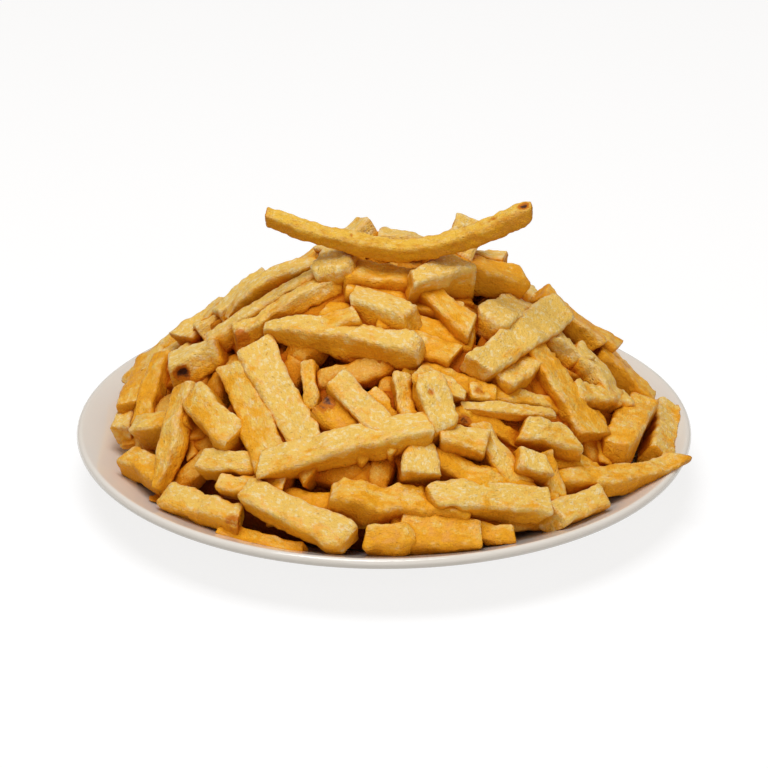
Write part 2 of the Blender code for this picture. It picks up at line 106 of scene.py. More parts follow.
# Fries that show on the heap: name, plan position of one end and its lift above the heap's surface of centres, the same
# for the other end, width, thickness, rise of the middle, sideways sway of the middle, and how deep its gold is, set
# deeper as painted shade on the fries that lie in shadow under others.
FRIES = (
    ("tapered", -74, -29, 2, -83.5, -64, 1, 10, 9, 1, 0, 0.30),
    ("short_thick", -69.5, -39.5, 2, -55, -65.5, 1, 11, 10, 0, 0, 0.50),
    ("twin_left", -57.5, -33, 2, -40, -78.5, -1, 12, 10, 0, 0, 0.40),
    ("twin_right", -49, -30.5, 0.5, -24.5, -79.5, -0.5, 13, 11, 0, 0, 0.35),
    ("hollow_end", -66, -66, 1, -38.5, -76.5, -3, 9, 9, 0, 0, 0.40),
    ("pale_behind", -60, -76, 1, -37, -83.5, -3, 8, 8, 0, 0, 0.35),
    ("orange_end", -81, -67.5, 0, -52.5, -90, 1, 10, 9, 0, 0, 0.40),
    ("front_long", -51, -83, 1.5, -12, -105, 1, 11, 10, 1, 0, 0.22),
    ("front_small", -60.5, -88.5, -1, -29, -104, -2, 7, 6, 0, 0, 0.80),
    ("orange_shade", -44.5, -82.5, -5.5, -4.5, -93, -6.5, 10, 9, 0, 0, 0.75),
    ("cut_chunk", -93, -30, 1, -70.5, -43, -2.5, 11, 11, 0, 0, 0.60),
    ("low_chunk", -97, -38, 0, -80.5, -59, -3.5, 11, 10, 0, 0, 0.60),
    ("left_long", -90.5, 30, 3, -101.5, -19, 1, 8, 9, 1, 0, 0.35),
    ("left_inner", -85.5, 12, 1.5, -92.5, -25, -2.5, 8, 8, 0, 0, 0.75),
    ("burnt_block", -82, -14, 6, -60, -15, -2.5, 14, 13, 0, 0, 0.20),
    ("brown_end", -56.5, -22.5, 2, -16.5, -16.5, 0, 9, 8, 1, 0, 0.20),
    ("ridge_long", -66, -12.5, 2, -17.5, -8.5, 1, 10, 9, 1, 0, 0.10),
    ("arch", -59, 2, -1, -18, 1, -5, 9, 9, 6, 0, 0.25),
    ("lumpy", -14.5, -2, 4.5, -18.5, -20, 3.5, 14, 12, 0, 0, 0.05),
    ("under_bow", -15, -15.5, 0.5, 13, -16.5, -2.5, 11, 10, 0, 0, 0.35),
    ("bright_mid", -11.5, -27, 0.5, 11, -39.5, 4, 12, 11, 0, 0, 0.15),
    ("big_block", 9, -24, 3, 28.5, -8.5, 3, 12, 12, 0, 0, 0.00),
    ("shade_low", -22, -25, -5, 0, -38, -5, 10, 9, 0, 0, 0.70),
    ("small_back", -23, -36, 1, -9, -36, 1, 8, 7, 0, 0, 0.50),
    ("big_pale", -45, -28, 4, 14, -50, 3, 12, 11, 2, 0, 0.25),
    ("lean_mid", 15.5, -20, -1.5, 33, -35, 2, 10, 10, 0, 0, 0.50),
    ("orange_mid", 0.5, -39.5, -5, 26, -46, -2, 10, 9, 0, 0, 0.70),
    ("under_pale", 6, -49.5, -6, 42, -53, -3, 10, 9, 0, 0, 0.65),
    ("thin_upright", -28, -45, -3.5, -26, -62.5, -3, 6, 7, 0, 0, 0.50),
    ("brown_tip", -23, -62.5, -4.5, -4.5, -78.5, -6, 12, 9, 0, 0, 0.75),
    ("middle_long", -18.5, -57, 1, 6.5, -78.5, -2.5, 11, 9, 0, 0, 0.30),
    ("middle_stub", -6, -59, -5, 10, -75, -6, 8, 8, 0, 0, 0.65),
    ("knobbly_up", 5.5, -55, -1, 10.5, -78, -2, 8, 8, 0, 0, 0.40),
    ("elbow", 14.5, -59, 4, 21.5, -76, 3, 10, 9, 0, 0, 0.20),
    ("flat_tip", 13, -57.5, 0, 30, -61, 2, 13, 8, 0, 0, 0.35),
    ("diagonal", -45, -79, 3, 17.5, -75.5, 4, 10, 9, 1, 0, 0.35),
    ("wedge", 13, -70, -1.5, 14, -88, 0.5, 12, 11, 0, 0, 0.30),
    ("front_block", 20, -74, 0.5, 38, -73.5, 1, 9, 9, 0, 0, 0.25),
    ("striped", 12, -78.5, -3, 47, -84, -2, 10, 10, 0, 0, 0.65),
    ("golden_elbow", 34, -66, -1.5, 51, -79.5, -3, 10, 9, 0, 0, 0.45),
    ("thin_flat", 28.5, -63.5, 1, 64, -50, 2, 6, 5, 1, 0, 0.20),
    ("brown_spot", 23, -63.5, -4, 53, -63, -4, 8, 8, 0, 0, 0.90),
    ("pale_slab", 50, -63, 0, 71, -58, 2, 10, 10, 0, 0, 0.20),
    ("square_chunk", 53, -72, 4, 54.5, -79, 4, 11, 9, 0, 0, 0.20),
    ("chunk_behind", 58, -67.5, 1, 64, -79.5, -0.5, 7, 8, 0, 0, 0.65),
    ("wrinkled_big", 16.5, -94.5, 3, 59, -85, 4, 12, 11, 0, 0, 0.20),
    ("strip_behind", 33, -81, -2.5, 64, -80, -1.5, 9, 8, 0, 0, 0.75),
    ("wrinkled", -20, -93.5, 1, 30.5, -91.5, -4, 12, 10, 0, 0, 0.65),
    ("face_end", 5.5, -101, -2.5, 34.5, -101, 1, 12, 11, 0, 0, 0.55),
    ("short_knob", 30, -96, -3.5, 47, -96, 0, 7, 7, 0, 0, 0.55),
    ("round_lump", -6.5, -104.5, 1, 10.5, -105, 1, 10, 9, 1, 0, 0.60),
    ("lump_behind", 1.5, -97, -6, 18.5, -99.5, -5, 9, 9, 0, 0, 1.00),
    ("pale_long", 34, -51, 3, 67, 5, 7, 12, 11, 0, 0, 0.05),
    ("beige_under", 43, -49, -1, 63, -16, -3, 10, 9, 0, 0, 0.45),
    ("round_right", 38.5, -26.5, -0.5, 54, 2.5, 1, 13, 12, 0, 0, 0.10),
    ("broad_flat", 55.5, -22, -1.5, 78, -47, 0, 11, 8, 0, 0, 0.62),
    ("band", 31, -56, -2.5, 72.5, -37.5, -3, 8, 7, 0, 0, 0.60),
    ("knob_a", 58, -11, -1.5, 76, -7.5, 0, 11, 10, 0, 0, 0.00),
    ("knob_b", 72, -6, 0.5, 89.5, -18.5, 0, 11, 10, 0, 0, 0.30),
    ("under_knob", 71, -34, 0, 95, -9, 0, 9, 9, 0, 0, 0.35),
    ("right_thick", 87, -47.5, 2, 100.5, -0.5, 2, 12, 11, 0, 0, 0.40),
    ("right_edge", 103, -34, 2.5, 110, 16, 3, 10, 10, 0, 0, 0.40),
    ("long_bent", 58.5, -73, -1.5, 110.5, -38.5, 14, 9, 9, -2, 5, 0.60),
    ("front_chunk", 60, -86, -1, 80, -69.5, 1, 11, 10, 0, 0, 0.40),
    ("brown_flat", 56.5, -64.5, -5, 84.5, -52.5, -5, 9, 8, 0, 0, 0.75),
    ("small_end", 78.5, -29, -4.5, 84, -48.5, -5.5, 7, 7, 0, 0, 0.75),
    ("dark_yellow", 20, -4, 2, 51, 6, 5.5, 12, 11, 0, 0, 0.65),
    ("poke", 28, 17.5, -1, 47, 13, 10.5, 10, 10, 0, 0, 0.30),
    ("stick_out", 60, 10, 8, 82, 9, 6, 11, 10, 0, 0, 0.45),
    ("right_end", 66, 13.5, 5, 89, 12, 8, 10, 10, 0, 0, 0.55),
    ("slope_piece", 81.5, 3, 1.5, 103, 3, 3.5, 10, 10, 0, 0, 0.60),
    ("peak_left", -22, 2.5, 1.5, -6, 14, 8, 12, 10, 0, 0, 0.15),
    ("peak_mid", -2, 10, 3.5, 14, 8, 3, 11, 9, 0, 0, 0.15),
    ("peak_right", 28, 0.5, 6, 33.5, 12, 20, 12, 10, 0, 0, 0.15),
    ("left_knob_1", -78, 18, 0, -60, 34, -1, 10, 9, 0, 0, 0.00),
    ("left_knob_2", -72, 14, -1, -52, 26, -1, 10, 9, 0, 0, 0.00),
    ("left_knob_3", -64, 12, -1, -44, 24, -1, 10, 9, 0, 0, 0.00),
    ("left_knob_4", -55, 14, -2, -36, 20, -2, 10, 9, 0, 0, 0.10),
    ("prop_top", -14, -18, -3, 30, -24, -4, 13, 11, 0, 0, 0.50),
    ("prop_front", -2, -34, -4, 34, -34, -4, 12, 10, 0, 0, 0.50),
    ("prop_left", -90, 26, 1, -96, -12, 0, 12, 10, 0, 0, 0.50),
)

LOOKS = {
    "tapered": Look(start=End.CUT, end=End.BLADE, roll=-14.0),
    "short_thick": Look(end=End.ROUND, roll=8.0),
    "twin_left": Look(slant_start=(0.2, -0.2)),
    "twin_right": Look(slant_start=(-0.2, -0.2)),
    "hollow_end": Look(start=End.HOLLOW, slant_start=(0.0, 0.3)),
    "orange_end": Look(start=End.ROUND, slant_end=(0.25, 0.1), marks=(Mark(0.97, 60.0, 9.0, 9.0, 0.3, 0.42),)),
    "front_long": Look(start=End.ROUND, end=End.ROUND),
    "cut_chunk": Look(end=End.CUT, slant_end=(0.1, 0.2), marks=(Mark(1.0, 0.0, 6.0, 7.0, 0.2, 0.3),)),
    "left_long": Look(start=End.ROUND),
    "burnt_block": Look(roll=10.0, marks=(Mark(0.22, 80.0, 6.5, 7.0, 2.2, 1.0),)),
    "brown_end": Look(marks=(Mark(0.02, 60.0, 9.0, 9.0, 0.4, 0.55),), lumps=1.3),
    "arch": Look(start=End.POINT, lumps=0.7),
    "lumpy": Look(start=End.ROUND, end=End.ROUND, lumps=1.6),
    "big_block": Look(slant_start=(0.4, 0.2), slant_end=(0.2, 0.0), roll=-6.0),
    "bright_mid": Look(slant_end=(0.2, -0.2)),
    "big_pale": Look(start=End.POINT, end=End.ROUND, roll=-4.0),
    "thin_upright": Look(end=End.ROUND),
    "brown_tip": Look(marks=(Mark(0.06, 0.0, 8.0, 11.0, 0.6, 0.72),), lumps=1.3),
    "middle_long": Look(start=End.ROUND, end=End.CUT),
    "knobbly_up": Look(start=End.ROUND, end=End.ROUND, lumps=1.4),
    "elbow": Look(start=End.ROUND, end=End.ROUND, marks=(Mark(0.32, 10.0, 5.0, 3.6, 1.1, 0.24),)),
    "flat_tip": Look(end=End.BLADE, slant_start=(0.0, 0.2)),
    "diagonal": Look(slant_start=(0.1, 0.25), end=End.ROUND),
    "wedge": Look(start=End.BLADE, slant_end=(0.15, 0.0)),
    "striped": Look(lumps=1.3, end=End.ROUND),
    "golden_elbow": Look(start=End.ROUND),
    "thin_flat": Look(start=End.POINT, end=End.POINT, lumps=0.5),
    "brown_spot": Look(start=End.ROUND, end=End.WEDGE, marks=(Mark(0.2, 30.0, 6.0, 4.5, 0.7, 0.85),), lumps=1.3),
    "pale_slab": Look(slant_start=(0.35, 0.0), slant_end=(0.35, 0.0), roll=-4.0),
    "square_chunk": Look(lumps=0.7),
    "wrinkled_big": Look(start=End.ROUND, slant_end=(0.35, 0.15), marks=(Mark(0.12, 70.0, 5.0, 4.0, 1.2, 0.05),)),
    "wrinkled": Look(start=End.ROUND, lumps=1.8),
    "face_end": Look(end=End.CUT, slant_end=(0.45, 0.0), marks=(Mark(0.05, 90.0, 7.0, 8.0, 0.3, 0.35),)),
    "short_knob": Look(end=End.HOLLOW, lumps=1.5),
    "round_lump": Look(start=End.ROUND, end=End.ROUND, lumps=1.5),
    "pale_long": Look(slant_start=(-0.3, 0.1), roll=-6.0),
    "beige_under": Look(start=End.ROUND, end=End.POINT),
    "round_right": Look(start=End.ROUND, lumps=1.3),
    "broad_flat": Look(slant_end=(-0.8, 0.0), lumps=1.2),
    "band": Look(start=End.ROUND, end=End.POINT, marks=(Mark(0.08, 10.0, 7.0, 5.0, 0.2, 0.28),)),
    "knob_a": Look(start=End.ROUND, end=End.ROUND, lumps=1.9),
    "knob_b": Look(start=End.ROUND, end=End.ROUND, lumps=1.9),
    "under_knob": Look(start=End.ROUND, end=End.ROUND, lumps=1.5),
    "right_thick": Look(start=End.ROUND, roll=5.0),
    "long_bent": Look(start=End.POINT, slant_end=(0.3, 0.2)),
    "front_chunk": Look(slant_end=(-0.25, 0.0), roll=-6.0),
    "brown_flat": Look(start=End.POINT, end=End.POINT, lumps=1.3),
    "dark_yellow": Look(slant_end=(0.2, 0.0), lumps=0.8),
    "right_end": Look(slant_end=(0.1, 0.25), lumps=0.8),
    "stick_out": Look(slant_end=(0.3, 0.0)),
}

# Centre line of the long bowed fry that lies across the top: x, y, z, then its width and height there.
BOW = (
    (-44.0, -12.0, 113.8, 6.0, 6.4), (-40.0, -12.0, 112.2, 6.6, 6.8), (-35.5, -12.5, 110.6, 6.6, 6.8),
    (-24.5, -13.5, 107.4, 6.6, 6.8), (-13.0, -14.0, 103.8, 7.4, 7.6), (-2.0, -14.5, 101.4, 7.8, 7.9),
    (6.0, -15.0, 101.0, 7.8, 7.9), (13.5, -15.0, 101.5, 7.8, 7.9), (21.0, -15.0, 103.0, 7.7, 7.7),
    (28.5, -14.5, 105.0, 7.6, 7.6), (36.0, -14.5, 107.2, 7.7, 7.7), (43.5, -14.0, 110.5, 8.1, 8.2),
    (51.0, -13.5, 114.3, 8.2, 8.3), (55.5, -13.5, 116.7, 7.8, 8.0),
)


@dataclass(frozen=True)
class HeapSurface:
    """Rounded mound on which the outer fries' centres lie."""

    foot: float = 18.0
    top: float = 95.0
    radius: float = 110.0
    power: float = 1.6

    def height(self, x: float, y: float) -> float:
        """Height over the plan point."""
        reach = min(math.hypot(x, y) / self.radius, 1.07)
        return self.foot + (self.top - self.foot) * (1.0 - reach ** self.power)

    def up(self, x: float, y: float) -> np.ndarray:
        """Outward normal over the plan point."""
        dx = (self.height(x + 1, y) - self.height(x - 1, y)) / 2
        dy = (self.height(x, y + 1) - self.height(x, y - 1)) / 2
        return unit(np.array((-dx, -dy, 1.0)))

    def place(self, x: float, y: float, lift: float) -> np.ndarray:
        """Point over the plan point, lifted straight up from the surface."""
        return np.array((x, y, self.height(x, y) + lift))


@dataclass(frozen=True)
class FryLine:
    """Centre line of one fry, with its section's size along it.

    Attributes:
        points: Stations along the middle, (n, 3) in millimetres.
        up: Direction of the upper face.
        wide: Width at each station.
        thick: Thickness at each station.
    """

    points: np.ndarray
    up: np.ndarray
    wide: np.ndarray
    thick: np.ndarray


def unit(vector: np.ndarray) -> np.ndarray:
    """The vector, or each row of vectors, at length one."""
    return vector / np.maximum(np.linalg.norm(vector, axis=-1, keepdims=True), 1e-9)


def wander(rng: np.random.Generator, count: int, knots: int) -> np.ndarray:
    """A smooth random curve with values of about -1 to 1.

    Args:
        rng: Source of the random values.
        count: Samples wanted.
        knots: Random values along the curve.

    Returns:
        The samples, (count,).
    """
    knots = max(knots, 2)
    values = rng.uniform(-1.0, 1.0, knots + 3)
    at = np.linspace(0.0, knots - 1e-6, count)
    k, t = at.astype(int), at % 1.0
    a, b, c, d = (values[k + i] for i in range(4))
    a, b, c, d = values[k], values[k + 1], values[k + 2], values[np.minimum(k + 3, knots + 2)]
    return 0.5 * (2 * b + (c - a) * t + (2 * a - 5 * b + 4 * c - d) * t**2 + (3 * b - 3 * c + d - a) * t**3)


def ripple(rng: np.random.Generator, points: np.ndarray, wavelength: float, waves: int = 18) -> np.ndarray:
    """Random bumps in space, about -1 to 1.

    Args:
        rng: Source of the waves.
        points: Where the bumps are read, (n, 3).
        wavelength: Usual distance from bump to bump.
        waves: Plane waves summed.

    Returns:
        Height of the bumps at each point, (n,).
    """
    heading = unit(rng.normal(size=(waves, 3)))
    pitch = math.tau / (wavelength * rng.uniform(0.75, 1.5, waves))
    phase = rng.uniform(0.0, math.tau, waves)
    return np.sin(points @ (heading * pitch[:, None]).T + phase).sum(axis=1) / math.sqrt(waves)


@dataclass(frozen=True)
class FryCutter:
    """Makes the surface of one fry: a bar of potato with soft uneven edges, puffed faces and cut ends.

    Attributes:
        step: Distance between sections.
        around: Points round a section.
        corner: Radius of the long edges.
        uneven: How far the long edges wander.
        hollow: How far the middle of a face falls in.
        bump: Height of the blisters.
        underside: Painted light and shade: how much paler the gold is on faces that look up, and how much deeper it is
            on faces that look sideways or down.
        streak: How far the crust's pattern is drawn out along the fry, 0 to 1.
    """

    step: float = 0.85
    around: int = 42
    corner: float = 2.2
    uneven: float = 0.72
    hollow: float = 0.5
    bump: float = 0.14
    underside: float = 0.8
    streak: float = 0.35

    def outline(self, wide: float, thick: float) -> tuple[np.ndarray, np.ndarray]:
        """Evenly spaced points round a section with rounded corners.

        Args:
            wide: Width of the section.
            thick: Thickness of the section.

        Returns:
            Places as shares of width and thickness, (around, 2), and nearness to a long edge, 0 to 1.
        """
        corner = min(self.corner, 0.4 * min(wide, thick))
        arc = np.linspace(0.0, math.pi / 2, 7)
        dense = []
        for k, (sx, sy) in enumerate(((1, 1), (-1, 1), (-1, -1), (1, -1))):
            turn = arc + k * math.pi / 2
            middle = np.array((sx * (wide / 2 - corner), sy * (thick / 2 - corner)))
            dense.append(middle + corner * np.stack((np.cos(turn), np.sin(turn)), axis=1))
        dense = np.concatenate(dense + [dense[0][:1]])
        run = np.concatenate(([0.0], np.cumsum(np.linalg.norm(np.diff(dense, axis=0), axis=1))))
        at = np.linspace(0.0, run[-1], self.around, endpoint=False)
        points = np.stack([np.interp(at, run, dense[:, k]) for k in (0, 1)], axis=1)
        away = np.hypot(wide / 2 - np.abs(points[:, 0]), thick / 2 - np.abs(points[:, 1]))
        return points / np.array((wide, thick)), np.clip(1.25 - away / 1.9, 0.0, 1.0)

    def cut(self, line: FryLine, look: Look, tone: float, rng: np.random.Generator) -> "Surface":
        """Surface of one fry.

        Args:
            line: Centre line and section sizes.
            look: Ends, roll, lumps and marks.
            tone: How deep its gold is, 0 to 1, set deeper as painted shade on fries that lie under others.
            rng: Source of its unevenness.

        Returns:
            The closed surface with its values.
        """
        seg = np.linalg.norm(np.diff(line.points, axis=0), axis=1)
        run = np.concatenate(([0.0], np.cumsum(seg)))
        length = run[-1]
        count = max(int(round(length / self.step)), 6)
        at = np.linspace(0.55, length - 0.55, count)
        centre = np.stack([np.interp(at, run, line.points[:, k]) for k in range(3)], axis=1)
        wide, thick = np.interp(at, run, line.wide), np.interp(at, run, line.thick)
        share = at / length
        along = unit(np.gradient(centre, axis=0))
        side = unit(np.cross(along, line.up))
        up = np.cross(side, along)
        turn = math.radians(look.roll) + math.radians(9.0) * (rng.uniform(-1, 1) + 1.4 * rng.normal() * (share - 0.5))
        side, up = (side * np.cos(turn)[:, None] + up * np.sin(turn)[:, None],
                    up * np.cos(turn)[:, None] - side * np.sin(turn)[:, None])
        shape, near_edge = self.outline(float(wide.mean()), float(thick.mean()))
        a = np.broadcast_to(shape[:, 0], (count, self.around)) * wide[:, None]
        b = np.broadcast_to(shape[:, 1], (count, self.around)) * thick[:, None]
        a, b = self.taper(a, b, at, look.start)
        a, b = self.taper(a, b, length - at, look.end)
        knots = int(length / 6.5) + 1
        u, v = shape[:, 0] + 0.5, shape[:, 1] + 0.5
        skew = rng.normal(0.0, 0.06, (4, 2)) * (wide.mean(), thick.mean())
        for weight, (skew_a, skew_b) in zip(((1 - u) * (1 - v), u * (1 - v), (1 - u) * v, u * v), skew):
            rough = 0.2 * wander(rng, count, int(length / 1.7))
            a = a + (skew_a + look.lumps * (self.uneven * wander(rng, count, knots) + rough))[:, None] * weight
            b = b + (skew_b + look.lumps * (self.uneven * wander(rng, count, knots) - rough))[:, None] * weight
        tones_and_shade = np.full((count, self.around), tone)
        middle_a, middle_b = 1 - (2 * shape[:, 0])**2, 1 - (2 * shape[:, 1])**2
        for sign in (-1, 1):
            on_b = np.clip(sign * shape[:, 1] * 2, 0, 1)**4
            on_a = np.clip(sign * shape[:, 0] * 2, 0, 1)**4
            dip_b, dip_a = (np.maximum(self.hollow * (0.8 + 0.9 * wander(rng, count, knots)), -0.25) for _ in (0, 1))
            b = b - sign * dip_b[:, None] * on_b * middle_a
            a = a - sign * dip_a[:, None] * on_a * middle_b
            # Painted shade: gold drawn deeper in the hollow where a face falls in and a little deeper on the side
            # faces, with a random tone for each face.
            tones_and_shade += (rng.normal(0.0, 0.09) + 0.16 * dip_b[:, None] * middle_a) * on_b
            tones_and_shade += (rng.normal(0.06, 0.09) + 0.16 * dip_a[:, None] * middle_b) * on_a
        tones_and_shade += 0.1 * wander(rng, count, knots)[:, None]
        facing = unit(shape[:, :1] * side[:, None] + shape[:, 1:] * up[:, None])
        # Painted light and shade: paler gold on faces that look up, deeper gold on faces that look sideways or down.
        tones_and_shade += self.underside * (0.35 - 0.65 * facing[..., 2])
        slide = np.zeros_like(a)
        for near, slant, sign in ((at, look.slant_start, -1.0), (length - at, look.slant_end, 1.0)):
            slope = np.array(slant) + rng.normal(0.0, 0.2, 2)
            fade = np.clip(1.0 - near / (1.3 * wide.mean()), 0.0, 1.0)**1.5
            slide += sign * fade[:, None] * (slope[0] * a + slope[1] * b)
        rings = (centre[:, None] + a[..., None] * side[:, None] + b[..., None] * up[:, None]
                 + slide[..., None] * along[:, None])
        out = facing
        flat = rings.reshape(-1, 3)
        lift = ripple(rng, flat, 7.0) * 0.6 + ripple(rng, flat, 2.6) * 0.8
        rings = rings + out * (self.bump * look.lumps * lift).reshape(count, -1, 1)
        angle = np.degrees(np.arctan2(shape[:, 0], shape[:, 1]))
        burn = np.zeros(rings.shape[:2])
        for mark in look.marks:
            here = int(np.clip(mark.along * count, 0, count - 1))
            spot = rings[here, int(np.argmin(np.abs((angle - mark.around + 180) % 360 - 180)))]
            gap = rings - spot
            far = np.sqrt(((gap @ along[here]) / (mark.length / 2))**2
                          + (np.linalg.norm(np.cross(gap, along[here]), axis=-1) / (mark.width / 2))**2)
            inside = np.clip(1.15 - far, 0.0, 1.0)
            inside = inside * inside * (3 - 2 * inside)
            rings = rings - out * (mark.depth * inside)[..., None]
            burn = np.maximum(burn, mark.burn * np.clip(1.35 - far, 0.0, 1.0))
        edge = np.broadcast_to(near_edge, rings.shape[:2]).copy()
        return self.close(rings, edge, burn, tones_and_shade, along, look, rng)

    @staticmethod
    def taper(a: np.ndarray, b: np.ndarray, near: np.ndarray, end: End) -> tuple[np.ndarray, np.ndarray]:
        """Section offsets drawn in towards one end.

        Args:
            a: Offsets across, one row for each section.
            b: Offsets upward, likewise.
            near: Distance of each section from the end.
            end: The kind of end.

        Returns:
            The two arrays, tapered.
        """
        run, wide, thick, power, _ = end.value
        if not run:
            return a, b
        fade = (np.clip(1.0 - near / run, 0.0, 1.0)**power)[:, None]
        return a * (1 - (1 - wide) * fade), b * (1 - (1 - thick) * fade)

    def close(self, rings: np.ndarray, edge: np.ndarray, burn: np.ndarray, tones_and_shade: np.ndarray, along: np.ndarray,
              look: Look, rng: np.random.Generator) -> "Surface":
        """Round the end edges over and close both ends with rings of their own.

        Args:
            rings: Sections, (n, around, 3).
            edge: Nearness to an edge at each point.
            burn: Burnt share at each point.
            tones_and_shade: How deep the gold is at each point, with the painted light and shade added to it.
            along: Direction of the fry at each section.
            look: Names the kind of each end.
            rng: Source of the ends' unevenness.

        Returns:
            The closed surface.
        """
        caps = {}
        for key, ring, heading, end in (("start", rings[0], -along[0], look.start), ("end", rings[-1], along[-1], look.end)):
            hollow = end.value[4] * rng.uniform(0.7, 1.5)
            middle = ring.mean(axis=0)
            rows = []
            for inset, out in ((0.07, 0.36), (0.16, 0.6), (0.3, 0.62 - 0.15 * hollow), (0.52, 0.6 - 0.6 * hollow),
                               (0.78, 0.6 - 0.95 * hollow)):
                rough = rng.normal(0.0, 0.07, (self.around, 1)) * heading
                rows.append(middle + (ring - middle) * (1 - inset) + heading * out + rough)
            caps[key] = (np.array(rows), middle + heading * (0.6 - hollow))
        start, end = caps["start"], caps["end"]
        every = np.concatenate((start[0][::-1], rings, end[0]))
        rims = np.array((1.0, 0.9, 0.5, 0.15, 0.1))[:, None] * np.ones(self.around)
        edges = np.concatenate((rims[::-1], edge, rims))
        edges[5], edges[-6] = np.maximum(edges[5], 0.9), np.maximum(edges[-6], 0.9)
        edges[6], edges[-7] = np.maximum(edges[6], 0.45), np.maximum(edges[-7], 0.45)
        burns = np.concatenate((np.repeat(burn[:1], 5, 0), burn, np.repeat(burn[-1:], 5, 0)))
        cuts = [np.full((5, self.around), row.mean() + rng.normal(0.08, 0.12)) for row in (tones_and_shade[0], tones_and_shade[-1])]
        tones_and_shade = np.concatenate((cuts[0], tones_and_shade, cuts[1]))
        rows, around = every.shape[:2]
        first = (np.arange(rows - 1)[:, None] * around + np.arange(around)).ravel()
        following = (np.arange(rows - 1)[:, None] * around + (np.arange(around) + 1) % around).ravel()
        quads = np.stack((first, first + around, following + around, following), axis=1)
        k = np.arange(around)
        n = (k + 1) % around
        low, high = rows * around, rows * around + 1
        last = (rows - 1) * around
        tris = np.concatenate((np.stack((np.full(around, low), k, n), axis=1),
                               np.stack((np.full(around, high), last + n, last + k), axis=1)))
        points = np.concatenate((every.reshape(-1, 3), [start[1], end[1]]))
        total = len(points)
        values = {
            "tone": np.concatenate((tones_and_shade.ravel(), [cuts[0].mean(), cuts[1].mean()])),
            "edge": np.concatenate((edges.ravel(), [0.1, 0.1])),
            "burn": np.concatenate((burns.ravel(), [burns[0].mean(), burns[-1].mean()])),
        }
        heading = unit(points[high] - points[low])
        drawn_out = ((points - points[low]) @ heading)[:, None] * heading
        return Surface(points, [quads, tris], values, rng.uniform(0.0, 8.0, 3) - self.streak * MM * drawn_out)


@dataclass
class Surface:
    """Points and faces of one or more closed shapes, with values at their points.

    Attributes:
        points: Places in millimetres, (n, 3).
        faces: Arrays of faces, each with its own number of corners.
        values: Named values, each (n,).
        grain: Where in the grain each point is read, (n, 3), so that no two fries share a pattern.
    """

    points: np.ndarray
    faces: list[np.ndarray]
    values: dict[str, np.ndarray]
    grain: np.ndarray

    @staticmethod
    def join(parts: Sequence["Surface"]) -> "Surface":
        """All the shapes as one."""
        starts = np.cumsum([0] + [len(part.points) for part in parts[:-1]])
        faces = [face + start for part, start in zip(parts, starts) for face in part.faces]
        values = {key: np.concatenate([part.values[key] for part in parts]) for key in parts[0].values}
        return Surface(np.concatenate([part.points for part in parts]), faces, values,
                       np.concatenate([part.grain for part in parts]))

    def keep_above(self, floor: Callable[[np.ndarray], np.ndarray]) -> "Surface":
        """Press the points up to where they would go into what they rest on.

        Args:
            floor: Lowest height allowed at each plan radius.

        Returns:
            This surface.
        """
        low = floor(np.hypot(self.points[:, 0], self.points[:, 1]))
        under = low - self.points[:, 2]
        self.points[:, 2] += np.where(under > -1.0, (np.maximum(under, -1.0) + 1.0)**2 / (4.0), 0.0) * (under < 1.0) \
            + under * (under >= 1.0)
        return self

    def make(self, name: str) -> bpy.types.Object:
        """Link the surface as a smooth-shaded mesh object in metres.

        Args:
            name: Name of the object and its mesh.

        Returns:
            The object.
        """
        mesh = bpy.data.meshes.new(name)
        corners = np.concatenate([face.ravel() for face in self.faces]).astype(np.int32)
        sizes = np.concatenate([np.full(len(face), face.shape[1]) for face in self.faces]).astype(np.int32)
        mesh.vertices.add(len(self.points))
        mesh.vertices.foreach_set("co", (self.points * MM).astype(np.float32).ravel())
        mesh.loops.add(len(corners))
        mesh.loops.foreach_set("vertex_index", corners)
        mesh.polygons.add(len(sizes))
        mesh.polygons.foreach_set("loop_start", np.concatenate(([0], np.cumsum(sizes)[:-1])).astype(np.int32))
        mesh.update(calc_edges=True)
        mesh.polygons.foreach_set("use_smooth", np.ones(len(sizes), dtype=bool))
        for key, value in self.values.items():
            mesh.attributes.new(key, "FLOAT", "POINT").data.foreach_set("value", value.astype(np.float32))
        mesh.attributes.new("grain", "FLOAT_VECTOR", "POINT").data.foreach_set(
            "vector", self.grain.astype(np.float32).ravel())
        obj = bpy.data.objects.new(name, mesh)
        bpy.context.scene.collection.objects.link(obj)
        return obj


def revolved(profile: np.ndarray, segments: int) -> Surface:
    """Closed surface turned about Z.

    Args:
        profile: Radii and heights from the middle of the underside round to the middle of the top, (n, 2), without
            the two points on the axis.
        segments: Points round the axis.

    Returns:
        The surface, with plain values.
    """
    turn = np.arange(segments) * math.tau / segments
    ring = np.stack((np.cos(turn), np.sin(turn)), axis=1)
    rows = len(profile)
    points = np.concatenate((profile[:, None, :1] * ring, np.broadcast_to(profile[:, None, 1:], (rows, segments, 1))),
                            axis=2).reshape(-1, 3)
    first = (np.arange(rows - 1)[:, None] * segments + np.arange(segments)).ravel()
    following = (np.arange(rows - 1)[:, None] * segments + (np.arange(segments) + 1) % segments).ravel()
    quads = np.stack((first, following, following + segments, first + segments), axis=1)
    k = np.arange(segments)
    n = (k + 1) % segments
    low, high, last = rows * segments, rows * segments + 1, (rows - 1) * segments
    tris = np.concatenate((np.stack((np.full(segments, low), n, k), axis=1),
                           np.stack((np.full(segments, high), last + k, last + n), axis=1)))
    points = np.concatenate((points, [(0.0, 0.0, profile[0, 1]), (0.0, 0.0, profile[-1, 1])]))
    zero = np.zeros(len(points))
    return Surface(points, [quads, tris], {"tone": zero + 0.5, "edge": zero, "burn": zero}, np.zeros((len(points), 3)))


